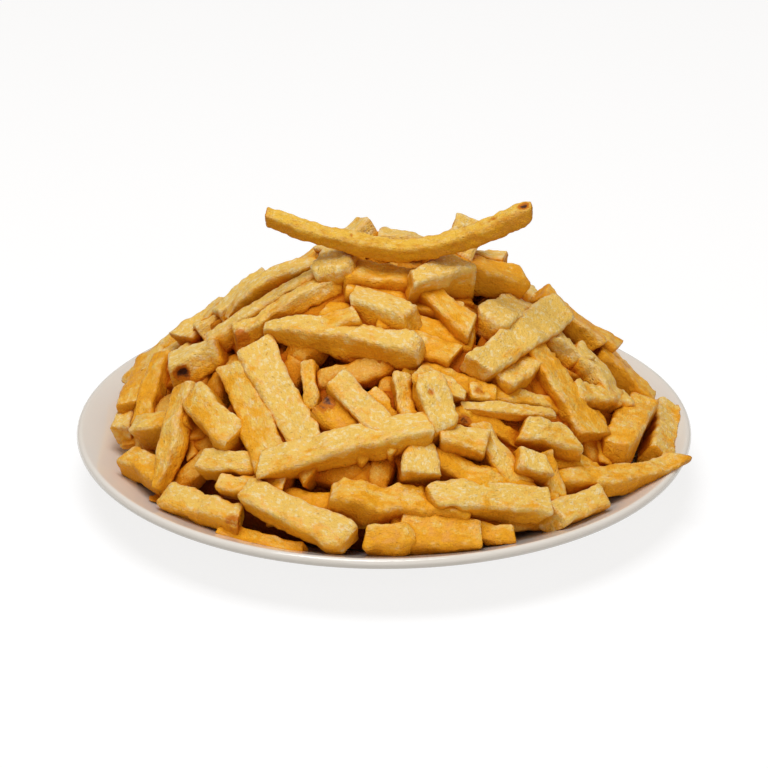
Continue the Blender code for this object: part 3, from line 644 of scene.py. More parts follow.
class Wiring:
    """Adds nodes to one tree and links them."""

    def __init__(self, tree: bpy.types.NodeTree) -> None:
        """Keep the tree to build in."""
        self.tree = tree

    def add(self, kind: str, ins: dict | None = None, **settings: object) -> bpy.types.Node:
        """Add one node.

        Args:
            kind: Blender's type name of the node.
            ins: Values or sockets for its inputs, by name or index.
            **settings: Attributes of the node, set before the inputs.

        Returns:
            The node.
        """
        node = self.tree.nodes.new(kind)
        for key, value in settings.items():
            setattr(node, key, value)
        for key, value in (ins or {}).items():
            if isinstance(value, bpy.types.NodeSocket):
                self.tree.links.new(value, node.inputs[key])
            else:
                node.inputs[key].default_value = value
        return node

    def math(self, operation: str, *values: object, clamp: bool = False) -> bpy.types.NodeSocket:
        """Result of one Math node on numbers or sockets."""
        ins = dict(enumerate(values))
        return self.add("ShaderNodeMath", ins, operation=operation, use_clamp=clamp).outputs[0]

    def vector(self, operation: str, *values: object, out: int = 0) -> bpy.types.NodeSocket:
        """Result of one Vector Math node."""
        return self.add("ShaderNodeVectorMath", dict(enumerate(values)), operation=operation).outputs[out]

    def ramp(self, value: object, low: float, high: float) -> bpy.types.NodeSocket:
        """The value brought smoothly from low..high to 0..1."""
        return self.add("ShaderNodeMapRange", {0: value, 1: low, 2: high}, interpolation_type="SMOOTHSTEP").outputs[0]

    def mix(self, share: object, first: object, second: object) -> bpy.types.NodeSocket:
        """Two colours mixed."""
        return self.add("ShaderNodeMix", {0: share, 6: first, 7: second}, data_type="RGBA").outputs[2]

    def noise(self, vector: object, scale: object, detail: float = 2.0, rough: float = 0.5) -> bpy.types.NodeSocket:
        """Noise value at a place."""
        return self.add("ShaderNodeTexNoise", {"Vector": vector, "Scale": scale, "Detail": detail, "Roughness": rough}
                        ).outputs[0]


def new_group(name: str, kind: str, ins: dict[str, tuple[str, object]], outs: dict[str, str]
              ) -> tuple[Wiring, dict[str, bpy.types.NodeSocket], bpy.types.Node]:
    """Start a node group with named sockets.

    Args:
        name: The group's name.
        kind: ShaderNodeTree or GeometryNodeTree.
        ins: Input names with their socket type and start value.
        outs: Output names with their socket type.

    Returns:
        The wiring of the group, its inputs by name, and its output node.
    """
    tree = bpy.data.node_groups.new(name, kind)
    for label, (sort, start) in ins.items():
        socket = tree.interface.new_socket(label, in_out="INPUT", socket_type="NodeSocket" + sort)
        if start is not None:
            socket.default_value = start
    for label, sort in outs.items():
        tree.interface.new_socket(label, in_out="OUTPUT", socket_type="NodeSocket" + sort)
    entry, leave = tree.nodes.new("NodeGroupInput"), tree.nodes.new("NodeGroupOutput")
    return Wiring(tree), {socket.name: socket for socket in entry.outputs if socket.name}, leave


def fried_colour_group() -> bpy.types.NodeTree:
    """Shader group for the colour of fried potato: pale and golden patches, cream specks, brown edges and burns, with
    painted highlights along the edges and painted shade where the fries shut each other in.
    """
    wire, ins, leave = new_group("fried_colour", "ShaderNodeTree", {
        "Place": ("Vector", None), "Tone": ("Float", 0.4), "Edge": ("Float", 0.0), "Burn": ("Float", 0.0),
        "Shelter": ("Float", 0.0), "Deep": ("Color", (0.45, 0.12, 0.005, 1)),
        "Cream": ("Color", (0.9, 0.7, 0.35, 1)), "Pale": ("Color", (0.8, 0.55, 0.2, 1)),
        "Golden": ("Color", (0.7, 0.35, 0.06, 1)), "Brown": ("Color", (0.4, 0.12, 0.02, 1)),
        "Burnt": ("Color", (0.06, 0.02, 0.01, 1)), "Patch Scale": ("Float", 95.0), "Speck Scale": ("Float", 640.0),
        "Edge Browning": ("Float", 0.6),
    }, {"Color": "Color", "Brownness": "Float", "Shine": "Float"})
    place = ins["Place"]

    def about(value: bpy.types.NodeSocket, gain: float) -> bpy.types.NodeSocket:
        """A noise value centred on zero and scaled."""
        return wire.math("MULTIPLY_ADD", value, gain, -0.5 * gain)

    broad = wire.noise(place, ins["Patch Scale"], 2.0, 0.5)
    small = wire.noise(place, wire.math("MULTIPLY", ins["Patch Scale"], 3.6), 3.0, 0.6)
    fine = wire.noise(place, ins["Speck Scale"], 4.0, 0.68)
    worn = wire.noise(wire.vector("ADD", place, (3.1, 0.7, 1.9)), wire.math("MULTIPLY", ins["Patch Scale"], 1.6), 3.0, 0.6)
    # Painted shade: the tone deepens where the fries shut each other in.
    tone = wire.math("MULTIPLY_ADD", wire.ramp(ins["Shelter"], 0.08, 0.7), 0.75,
                     wire.math("MULTIPLY_ADD", ins["Tone"], 1.35, -0.15))
    patches = wire.math("ADD", wire.math("ADD", tone, about(broad, 1.2)), about(small, 2.2))
    depth = wire.math("ADD", patches, about(fine, 2.1))
    gold = wire.mix(wire.ramp(depth, 0.05, 0.8), ins["Pale"], ins["Golden"])
    cream = wire.math("MULTIPLY", wire.ramp(fine, 0.5, 0.62), wire.ramp(patches, 0.75, 0.1))
    # Cream along the long edges: crumbly crust together with a painted highlight where light catches the edges.
    crumbs_and_highlight = wire.math("MULTIPLY", wire.math("MULTIPLY", ins["Edge"], wire.ramp(fine, 0.42, 0.58)), wire.ramp(patches, 1.1, 0.4))
    gold = wire.mix(wire.math("MULTIPLY", wire.math("MAXIMUM", cream, crumbs_and_highlight), 0.85), gold, ins["Cream"])
    # Browner where the gold runs deepest, which takes in the painted shade above.
    deep = wire.ramp(wire.math("ADD", depth, about(worn, 1.2)), 0.72, 1.4)
    edges = wire.math("MULTIPLY", wire.math("MULTIPLY", ins["Edge"], wire.ramp(worn, 0.46, 0.66)), ins["Edge Browning"])
    freckle = wire.math("MULTIPLY", wire.math("MULTIPLY", wire.ramp(fine, 0.40, 0.32), wire.ramp(small, 0.5, 0.62)), 0.55)
    brown = wire.math("MAXIMUM", wire.math("MAXIMUM", edges, freckle), wire.math("MULTIPLY", deep, 0.3), clamp=True)
    # Painted shade: crust shut in between the fries is mixed towards the dark shade colour.
    gold = wire.mix(wire.math("MULTIPLY", wire.ramp(ins["Shelter"], 0.42, 0.82), 0.95), gold, ins["Deep"])
    colour = wire.mix(brown, gold, ins["Brown"])
    ragged = wire.math("ADD", ins["Burn"], wire.math("MULTIPLY", about(small, 1.4), wire.ramp(ins["Burn"], 0.02, 0.3)))
    colour = wire.mix(wire.ramp(ragged, 0.05, 0.42), colour, ins["Brown"])
    colour = wire.mix(wire.ramp(ragged, 0.5, 0.95), colour, ins["Burnt"])
    wire.tree.links.new(colour, leave.inputs["Color"])
    wire.tree.links.new(wire.math("MAXIMUM", brown, ins["Burn"]), leave.inputs["Brownness"])
    oily = wire.math("MULTIPLY_ADD", wire.ramp(small, 0.42, 0.62), 0.25, 0.06)
    wire.tree.links.new(wire.math("MULTIPLY", oily, wire.ramp(ins["Shelter"], 0.6, 0.1)), leave.inputs["Shine"])
    return wire.tree


def crust_grain_group() -> bpy.types.NodeTree:
    """Shader group for the crust's relief: blisters, fine grain and open pores, as one height."""
    wire, ins, leave = new_group("crust_grain", "ShaderNodeTree", {
        "Place": ("Vector", None), "Blister Scale": ("Float", 420.0), "Speck Scale": ("Float", 880.0),
        "Pore Scale": ("Float", 620.0), "Pore Depth": ("Float", 0.35),
    }, {"Height": "Float"})
    place = ins["Place"]
    blister = wire.noise(place, ins["Blister Scale"], 2.0, 0.5)
    fine = wire.noise(place, ins["Speck Scale"], 3.0, 0.6)
    cells = wire.add("ShaderNodeTexVoronoi", {"Vector": place, "Scale": ins["Pore Scale"]})
    pore = wire.math("MULTIPLY", wire.math("SUBTRACT", 1.0, wire.ramp(cells.outputs["Distance"], 0.05, 0.32)),
                     wire.ramp(blister, 0.48, 0.6))
    speck = wire.noise(place, wire.math("MULTIPLY", ins["Speck Scale"], 2.1), 2.0, 0.5)
    height = wire.math("MULTIPLY_ADD", blister, 0.35, wire.math("MULTIPLY_ADD", fine, 0.7, wire.math("MULTIPLY", speck, 0.6)))
    height = wire.math("SUBTRACT", height, wire.math("MULTIPLY", pore, ins["Pore Depth"]))
    wire.tree.links.new(height, leave.inputs["Height"])
    return wire.tree


@dataclass(frozen=True)
class FriedFinish:
    """Finish of fried potato.

    Attributes:
        name: Name of the material.
        cream: Colour of the raised specks.
        pale: Colour of the palest crust.
        golden: Colour of the well fried crust.
        brown: Colour of browned edges and freckles.
        burnt: Colour of burnt spots.
        deep: Colour of the painted shade on crust shut in between other fries.
        edge: How strongly the edges brown.
        roughness: Roughness of the crust.
        relief: Height of the grain in metres.
        glow: Share of light that passes through the potato's flesh.
    """

    name: str
    cream: tuple[float, float, float] = (0.97, 0.79, 0.42)
    pale: tuple[float, float, float] = (0.94, 0.60, 0.125)
    golden: tuple[float, float, float] = (0.93, 0.42, 0.016)
    brown: tuple[float, float, float] = (0.62, 0.18, 0.007)
    burnt: tuple[float, float, float] = (0.075, 0.025, 0.014)
    # Painted shade colour, mixed in where the fries shut each other in.
    deep: tuple[float, float, float] = (0.44, 0.075, 0.001)
    edge: float = 0.4
    roughness: float = 0.46
    relief: float = 0.0012
    glow: float = 0.0

    def material(self, colours: bpy.types.NodeTree, grain: bpy.types.NodeTree) -> bpy.types.Material:
        """Build the material.

        Args:
            colours: Group that gives the colour.
            grain: Group that gives the relief.

        Returns:
            The material.
        """
        material = bpy.data.materials.new(self.name)
        material.use_nodes = True
        material.node_tree.nodes.clear()
        wire = Wiring(material.node_tree)
        place = wire.vector("ADD", wire.add("ShaderNodeTexCoord").outputs["Object"],
                            wire.add("ShaderNodeAttribute", attribute_name="grain").outputs["Vector"])
        read = {name: wire.add("ShaderNodeAttribute", attribute_name=name).outputs["Fac"] for name in ("tone", "edge", "burn", "shelter")}
        colour = wire.add("ShaderNodeGroup", node_tree=colours)
        for key, value in {"Place": place, "Tone": read["tone"], "Edge": read["edge"], "Burn": read["burn"],
                           "Shelter": read["shelter"], "Deep": (*self.deep, 1.0),
                           "Cream": (*self.cream, 1.0), "Pale": (*self.pale, 1.0), "Golden": (*self.golden, 1.0), "Brown": (*self.brown, 1.0),
                           "Burnt": (*self.burnt, 1.0), "Edge Browning": self.edge}.items():
            if isinstance(value, bpy.types.NodeSocket):
                wire.tree.links.new(value, colour.inputs[key])
            else:
                colour.inputs[key].default_value = value
        relief = wire.add("ShaderNodeGroup", node_tree=grain)
        wire.tree.links.new(place, relief.inputs["Place"])
        bump = wire.add("ShaderNodeBump", {"Strength": 0.85, "Distance": self.relief, "Height": relief.outputs["Height"]})
        rough = wire.add("ShaderNodeMapRange", {0: colour.outputs["Brownness"], 3: self.roughness,
                                                4: self.roughness - 0.14}).outputs[0]
        shader = wire.add("ShaderNodeBsdfPrincipled", {
            "Base Color": colour.outputs["Color"], "Roughness": rough, "Normal": bump.outputs["Normal"],
            "Specular IOR Level": 0.06, "Coat Weight": colour.outputs["Shine"], "Coat Roughness": 0.35})
        if self.glow:
            shader.inputs["Subsurface Weight"].default_value = self.glow
            shader.inputs["Subsurface Radius"].default_value = (1.0, 0.48, 0.13)
            shader.inputs["Subsurface Scale"].default_value = 0.0028
        out = wire.add("ShaderNodeOutputMaterial")
        wire.tree.links.new(shader.outputs[0], out.inputs[0])
        return material


@dataclass(frozen=True)
class GlazeFinish:
    """Glossy slightly warm white glaze, with faint waviness and a thin smear of oil in the well.

    Attributes:
        name: Name of the material.
        white: Colour of the glaze.
        roughness: Roughness of the clean glaze.
    """

    name: str
    white: tuple[float, float, float] = (0.84, 0.805, 0.765)
    roughness: float = 0.13

    def material(self) -> bpy.types.Material:
        """Build the material."""
        material = bpy.data.materials.new(self.name)
        material.use_nodes = True
        material.node_tree.nodes.clear()
        wire = Wiring(material.node_tree)
        place = wire.add("ShaderNodeTexCoord").outputs["Object"]
        cloud = wire.noise(place, 22.0, 3.0)
        fine = wire.noise(place, 140.0, 3.0)
        warm = tuple(channel * share for channel, share in zip(self.white, (0.985, 0.965, 0.93)))
        split = wire.add("ShaderNodeSeparateXYZ", {0: place})
        reach = wire.math("SQRT", wire.math("ADD", wire.math("POWER", split.outputs[0], 2.0),
                                            wire.math("POWER", split.outputs[1], 2.0)))
        oily = wire.math("MULTIPLY", wire.math("SUBTRACT", 1.0, wire.ramp(reach, 0.098, 0.113)), wire.ramp(cloud, 0.35, 0.65))
        colour = wire.mix(wire.math("ADD", wire.math("MULTIPLY", wire.ramp(cloud, 0.3, 0.7), 0.35),
                                    wire.math("MULTIPLY", oily, 0.5), clamp=True), (*self.white, 1.0), (*warm, 1.0))
        rough = wire.math("ADD", wire.math("MULTIPLY_ADD", fine, 0.06, self.roughness - 0.03), wire.math("MULTIPLY", oily, 0.08))
        bump = wire.add("ShaderNodeBump", {"Strength": 0.25, "Distance": 0.0002, "Height": wire.noise(place, 60.0, 1.0)})
        shader = wire.add("ShaderNodeBsdfPrincipled", {
            "Base Color": colour, "Roughness": rough, "Normal": bump.outputs["Normal"],
            "Coat Weight": 0.6, "Coat Roughness": 0.06})
        out = wire.add("ShaderNodeOutputMaterial")
        wire.tree.links.new(shader.outputs[0], out.inputs[0])
        return material


def shape_with(obj: bpy.types.Object, tree: bpy.types.NodeTree, values: dict[str, object]) -> bpy.types.Object:
    """Run a Geometry Nodes tree on an object and keep the result as its plain mesh.

    Args:
        obj: The object, changed in place.
        tree: The tree.
        values: Values for the tree's inputs, by name.

    Returns:
        The object.
    """
    modifier = obj.modifiers.new(tree.name, "NODES")
    modifier.node_group = tree
    names = {item.name: item.identifier for item in tree.interface.items_tree
             if item.item_type == "SOCKET" and item.in_out == "INPUT"}
    for key, value in values.items():
        modifier[names[key]] = value
    graph = bpy.context.evaluated_depsgraph_get()
    graph.update()
    mesh = bpy.data.meshes.new_from_object(obj.evaluated_get(graph), preserve_all_data_layers=True, depsgraph=graph)
    obj.modifiers.clear()
    old, obj.data = obj.data, mesh
    bpy.data.meshes.remove(old)
    mesh.name = obj.name
    return obj


def blistered_crust_tree() -> bpy.types.NodeTree:
    """Geometry tree that raises blisters and small bumps on fries along their normals, then sets their material."""
    wire, ins, leave = new_group("blistered_crust", "GeometryNodeTree", {
        "Geometry": ("Geometry", None), "Blister Height": ("Float", 0.0003), "Blister Scale": ("Float", 260.0),
        "Seed": ("Float", 0.0), "Material": ("Material", None),
    }, {"Geometry": "Geometry"})
    grain = wire.add("GeometryNodeInputNamedAttribute", {"Name": "grain"}, data_type="FLOAT_VECTOR").outputs[0]
    place = wire.vector("ADD", wire.add("GeometryNodeInputPosition").outputs[0], grain)
    noise = wire.add("ShaderNodeTexNoise", {"Vector": place, "W": ins["Seed"], "Scale": ins["Blister Scale"],
                                            "Detail": 3.0, "Roughness": 0.55}, noise_dimensions="4D").outputs[0]
    height = wire.math("MULTIPLY", wire.math("MULTIPLY", wire.math("SUBTRACT", noise, 0.5), 4.0), ins["Blister Height"])
    push = wire.vector("MULTIPLY", wire.add("GeometryNodeInputNormal").outputs[0],
                       wire.add("ShaderNodeCombineXYZ", {0: height, 1: height, 2: height}).outputs[0])
    moved = wire.add("GeometryNodeSetPosition", {"Geometry": ins["Geometry"], "Offset": push}).outputs[0]
    whole = wire.add("GeometryNodeRealizeInstances", {0: moved}).outputs[0]
    dressed = wire.add("GeometryNodeSetMaterial", {"Geometry": whole, "Material": ins["Material"]}).outputs[0]
    wire.tree.links.new(dressed, leave.inputs[0])
    return wire.tree


def tumbled_fries_tree() -> bpy.types.NodeTree:
    """Geometry tree that strews loose fries over a mound, each turned about the mound's normal, none into the plate."""
    wire, ins, leave = new_group("tumbled_fries", "GeometryNodeTree", {
        "Mound": ("Geometry", None), "Fries": ("Collection", None), "Spacing": ("Float", 0.016),
        "Seed": ("Int", 1), "Shortest": ("Float", 0.75), "Longest": ("Float", 1.25), "Tilt": ("Float", 0.08),
        "Well Height": ("Float", 0.0065), "Rim Start": ("Float", 0.084), "Rim Slope": ("Float", 0.43),
        "Clearance": ("Float", 0.0006), "Material": ("Material", None),
    }, {"Fries": "Geometry"})
    seed = ins["Seed"]
    facing = wire.add("ShaderNodeSeparateXYZ", {0: wire.add("GeometryNodeInputNormal").outputs[0]}).outputs[2]
    spread = wire.add("GeometryNodeDistributePointsOnFaces", {
        "Mesh": ins["Mound"], "Selection": wire.math("GREATER_THAN", facing, 0.05), "Distance Min": ins["Spacing"],
        "Density Max": 40000.0, "Seed": seed}, distribute_method="POISSON")
    turn = wire.add("FunctionNodeRandomValue", {2: 0.0, 3: math.tau, "Seed": seed}, data_type="FLOAT").outputs[1]
    low = wire.math("MULTIPLY", ins["Tilt"], -1.0)
    tilt = wire.add("FunctionNodeRandomValue", {2: low, 3: ins["Tilt"], "Seed": wire.math("ADD", seed, 5.0)},
                    data_type="FLOAT").outputs[1]
    spin = wire.add("FunctionNodeAxisAngleToRotation", {0: (0.0, 0.0, 1.0), 1: turn}).outputs[0]
    lean = wire.add("FunctionNodeAxisAngleToRotation", {0: (0.0, 1.0, 0.0), 1: tilt}).outputs[0]
    turned = wire.add("FunctionNodeRotateRotation", {0: spread.outputs["Rotation"], 1: spin}, rotation_space="LOCAL").outputs[0]
    turned = wire.add("FunctionNodeRotateRotation", {0: turned, 1: lean}, rotation_space="LOCAL").outputs[0]
    size = wire.add("FunctionNodeRandomValue", {2: ins["Shortest"], 3: ins["Longest"], "Seed": wire.math("ADD", seed, 9.0)},
                    data_type="FLOAT").outputs[1]
    sizes = wire.add("ShaderNodeCombineXYZ", {0: size, 1: 1.0, 2: 1.0}).outputs[0]
    fries = wire.add("GeometryNodeCollectionInfo", {"Collection": ins["Fries"], "Separate Children": True,
                                                    "Reset Children": True}).outputs[0]
    strewn = wire.add("GeometryNodeInstanceOnPoints", {"Points": spread.outputs["Points"], "Instance": fries,
                                                       "Pick Instance": True, "Rotation": turned, "Scale": sizes}).outputs[0]
    grain = wire.add("FunctionNodeRandomValue", {1: (8.0, 8.0, 8.0), "Seed": wire.math("ADD", seed, 13.0)},
                     data_type="FLOAT_VECTOR").outputs[0]
    named = wire.add("GeometryNodeStoreNamedAttribute", {"Geometry": strewn, "Name": "grain", "Value": grain},
                     data_type="FLOAT_VECTOR", domain="INSTANCE").outputs[0]
    whole = wire.add("GeometryNodeRealizeInstances", {0: named}).outputs[0]
    here = wire.add("ShaderNodeSeparateXYZ", {0: wire.add("GeometryNodeInputPosition").outputs[0]})
    reach = wire.math("SQRT", wire.math("ADD", wire.math("MULTIPLY", here.outputs[0], here.outputs[0]),
                                        wire.math("MULTIPLY", here.outputs[1], here.outputs[1])))
    rim = wire.math("MULTIPLY_ADD", wire.math("SUBTRACT", reach, ins["Rim Start"]), ins["Rim Slope"], 0.0095)
    floor = wire.math("ADD", wire.math("MAXIMUM", ins["Well Height"], rim), ins["Clearance"])
    raised = wire.add("ShaderNodeCombineXYZ", {0: here.outputs[0], 1: here.outputs[1],
                                               2: wire.math("MAXIMUM", here.outputs[2], floor)}).outputs[0]
    moved = wire.add("GeometryNodeSetPosition", {"Geometry": whole, "Position": raised}).outputs[0]
    dressed = wire.add("GeometryNodeSetMaterial", {"Geometry": moved, "Material": ins["Material"]}).outputs[0]
    wire.tree.links.new(dressed, leave.inputs[0])
    return wire.tree


@dataclass(frozen=True)
class Plate:
    """The dinner plate, one turned shape."""

    radius: float = 120.0
    rim_top: float = 24.0
    well_top: float = 6.5
    foot_radius: float = 60.0
    segments: int = 288
    finish: GlazeFinish = field(default_factory=lambda: GlazeFinish("white_dinner_glaze"))

    def corners(self) -> list[tuple[float, float]]:
        """Main points of the profile, from under the middle round the rim to the well."""
        foot = self.foot_radius
        return [
            (20.0, 2.6), (foot - 6.0, 2.6), (foot - 3.4, 0.4), (foot - 2.6, 0.0), (foot + 2.6, 0.0),
            (foot + 3.4, 0.5), (66.0, 2.9), (78.0, 4.6), (90.0, 8.4), (self.radius - 1.4, 19.9),
            (self.radius - 0.3, 21.0), (self.radius, 22.3), (self.radius - 0.6, 23.5),
            (self.radius - 1.7, self.rim_top), (self.radius - 3.0, 23.7), (84.0, 9.5), (77.0, 7.3),
            (70.0, self.well_top), (35.0, self.well_top - 0.15), (6.0, self.well_top - 0.3),
        ]

    def profile(self) -> np.ndarray:
        """The profile with its corners rounded."""
        line = np.array(self.corners())
        for _ in range(3):
            near, far = line[:-1] * 0.75 + line[1:] * 0.25, line[:-1] * 0.25 + line[1:] * 0.75
            middle = np.stack((near, far), axis=1).reshape(-1, 2)
            line = np.concatenate((line[:1], middle[1:-1], line[-1:]))
        return line

    def top(self, reach: np.ndarray) -> np.ndarray:
        """Height of the upper side at each plan radius."""
        return np.interp(reach, (0.0, 70.0, 77.0, 84.0, 117.0, 121.0),
                         (self.well_top - 0.3, self.well_top, 7.3, 9.5, 23.7, 24.0))

    def build(self) -> bpy.types.Object:
        """Make and dress the plate."""
        obj = revolved(self.profile(), self.segments).make("dinner_plate")
        obj.data.materials.append(self.finish.material())
        return settle_piece(obj, "white_glaze", "plate")


@dataclass(frozen=True)
class Kitchen:
    """What the fries' pieces share: the mound, the plate, and the groups that finish them."""

    mound: HeapSurface
    plate: Plate
    colours: bpy.types.NodeTree
    grain: bpy.types.NodeTree
    crust: bpy.types.NodeTree

    def fry(self, obj: bpy.types.Object, finish: FriedFinish, blister: float, scale: float, seed: float
            ) -> bpy.types.Object:
        """Give a piece its blistered crust and its finish.

        Args:
            obj: The piece.
            finish: Its finish.
            blister: Height of the blisters in millimetres.
            scale: How closely they lie, per metre.
            seed: Which blisters.

        Returns:
            The piece.
        """
        material = finish.material(self.colours, self.grain)
        return shape_with(obj, self.crust, {"Blister Height": blister * MM, "Blister Scale": scale, "Seed": seed,
                                            "Material": material})


@dataclass(frozen=True)
class Shelter:
    """How closely the fries shut in each spot of their crust, kept for painted shade: the crust is drawn deeper and
    darker there.

    Attributes:
        reach: Distance in millimetres within which another fry counts.
        looks: Directions looked along from each spot.
        seed: Seed of the turn of those directions.
    """

    reach: float = 17.0
    looks: int = 9
    seed: int = 8

    def directions(self) -> np.ndarray:
        """Evenly spread directions over the upper half of a ball, more of them near its top."""
        k = np.arange(self.looks)
        height = np.sqrt(1.0 - (k + 0.5) / self.looks)
        turn = k * math.pi * (3.0 - math.sqrt(5.0))
        return np.stack((np.sqrt(1 - height**2) * np.cos(turn), np.sqrt(1 - height**2) * np.sin(turn), height), axis=1)

    def measure(self, pieces: list[bpy.types.Object]) -> None:
        """Write the attribute `shelter`, 0 in the open and 1 shut in, on every piece.

        Args:
            pieces: The pieces of fries, which shut each other in.
        """
        rng = np.random.default_rng(self.seed)
        points, faces, start = [], [], 0
        for obj in pieces:
            flat = np.empty(len(obj.data.vertices) * 3, np.float32)
            obj.data.vertices.foreach_get("co", flat)
            points.append(flat.reshape(-1, 3))
            faces += [tuple(start + k for k in polygon.vertices) for polygon in obj.data.polygons]
            start += len(points[-1])
        tree = BVHTree.FromPolygons(np.concatenate(points).tolist(), faces)
        spread, reach = self.directions(), self.reach * MM
        for obj, places in zip(pieces, points):
            normal = np.empty(len(places) * 3, np.float32)
            obj.data.vertex_normals.foreach_get("vector", normal)
            normal = unit(normal.reshape(-1, 3))
            across = unit(np.cross(normal, unit(rng.normal(size=normal.shape))))
            other = np.cross(normal, across)
            near = (places + normal * 0.0004).tolist()
            shut = np.zeros(len(places))
            for look in spread:
                ways = (across * look[0] + other * look[1] + normal * look[2]).tolist()
                gaps = [tree.ray_cast(here, way, reach)[3] for here, way in zip(near, ways)]
                shut += [0.0 if gap is None else 1.0 - 0.6 * gap / reach for gap in gaps]
            shut = self.blend(obj.data, shut / len(spread))
            # Painted shade: the crust colour darkens by this value where the fries shut each other in.
            attribute = obj.data.attributes.new("shelter", "FLOAT", "POINT")
            attribute.data.foreach_set("value", shut.astype(np.float32))
            log.info("%s: shelter %.2f on average", obj.name, float(shut.mean()))

    @staticmethod
    def blend(mesh: bpy.types.Mesh, values: np.ndarray, rounds: int = 5) -> np.ndarray:
        """Each point's value evened out with its neighbours'.

        Args:
            mesh: The mesh.
            values: One value a point.
            rounds: How many times.

        Returns:
            The evened values.
        """
        pairs = np.empty(len(mesh.edges) * 2, np.int32)
        mesh.edges.foreach_get("vertices", pairs)
        one, two = pairs.reshape(-1, 2).T
        count = np.maximum(np.bincount(pairs, minlength=len(values)), 1)
        for _ in range(rounds):
            total = np.bincount(one, values[two], len(values)) + np.bincount(two, values[one], len(values))
            values = 0.4 * values + 0.6 * total / count
        return values


def settle_piece(obj: bpy.types.Object, slot: str, *nodes: str) -> bpy.types.Object:
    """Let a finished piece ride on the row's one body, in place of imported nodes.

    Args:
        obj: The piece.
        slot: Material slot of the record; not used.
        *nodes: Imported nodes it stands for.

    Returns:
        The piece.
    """
    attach(obj, "root")
    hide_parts(*nodes)
    faces = sum(len(polygon.vertices) - 2 for polygon in obj.data.polygons)
    log.info("%s: %d triangles", obj.name, faces)
    return obj


@dataclass(frozen=True)
class ShownFries:
    """The fries on the side of the heap that shows, each in its own place."""

    kitchen: Kitchen
    lean: float = 0.6
    seed: int = 71
    share: int = 3
    finish: FriedFinish = field(default_factory=lambda: FriedFinish("fried_potato_crust"))
    cutter: FryCutter = field(default_factory=FryCutter)

    def line(self, row: tuple, rng: np.random.Generator) -> FryLine:
        """Centre line of one fry of the list.

        Args:
            row: The fry's row.
            rng: Source of its slight bow.

        Returns:
            The centre line.
        """
        _, x1, y1, lift1, x2, y2, lift2, wide, thick, rise, sway, _ = row
        mound = self.kitchen.mound
        start, end = mound.place(x1, y1, lift1), mound.place(x2, y2, lift2)
        up = unit(mound.up((x1 + x2) / 2, (y1 + y2) / 2) + np.array((0.0, 0.0, self.lean)))
        along = unit(end - start)
        side = unit(np.cross(along, up))
        up = np.cross(side, along)
        t = np.linspace(0.0, 1.0, 17)[:, None]
        reach = np.linalg.norm(end - start)
        bow = 4 * t * (1 - t)
        rise, sway = rise + rng.normal() * reach * 0.008, sway + rng.normal() * reach * 0.01
        points = start + (end - start) * t + bow * (up * rise + side * sway)
        swell = 1.09 + 0.07 * wander(rng, 17, 3) + rng.normal(0.0, 0.075) * (2 * t[:, 0] - 1)
        return FryLine(points, up, wide * swell, thick * (swell + 0.06 * wander(rng, 17, 3)))

    def build(self) -> list[bpy.types.Object]:
        """Make and dress the fries, in a few pieces of neighbouring fries."""
        rng = np.random.default_rng(self.seed)
        surfaces = []
        for row in FRIES:
            own = np.random.default_rng(int(rng.integers(1 << 30)))
            look = LOOKS.get(row[0], Look())
            surfaces.append(self.cutter.cut(self.line(row, own), look, row[-1], own).keep_above(self.kitchen.plate.top))
        pieces = []
        size = -(-len(surfaces) // self.share)
        for k in range(self.share):
            obj = Surface.join(surfaces[k * size:(k + 1) * size]).make(f"shown_fries_{k + 1}")
            self.kitchen.fry(obj, self.finish, 0.19, 420.0, 3.0 + k)
            pieces.append(settle_piece(obj, "fried_potato", "fries_heap"))
        return pieces


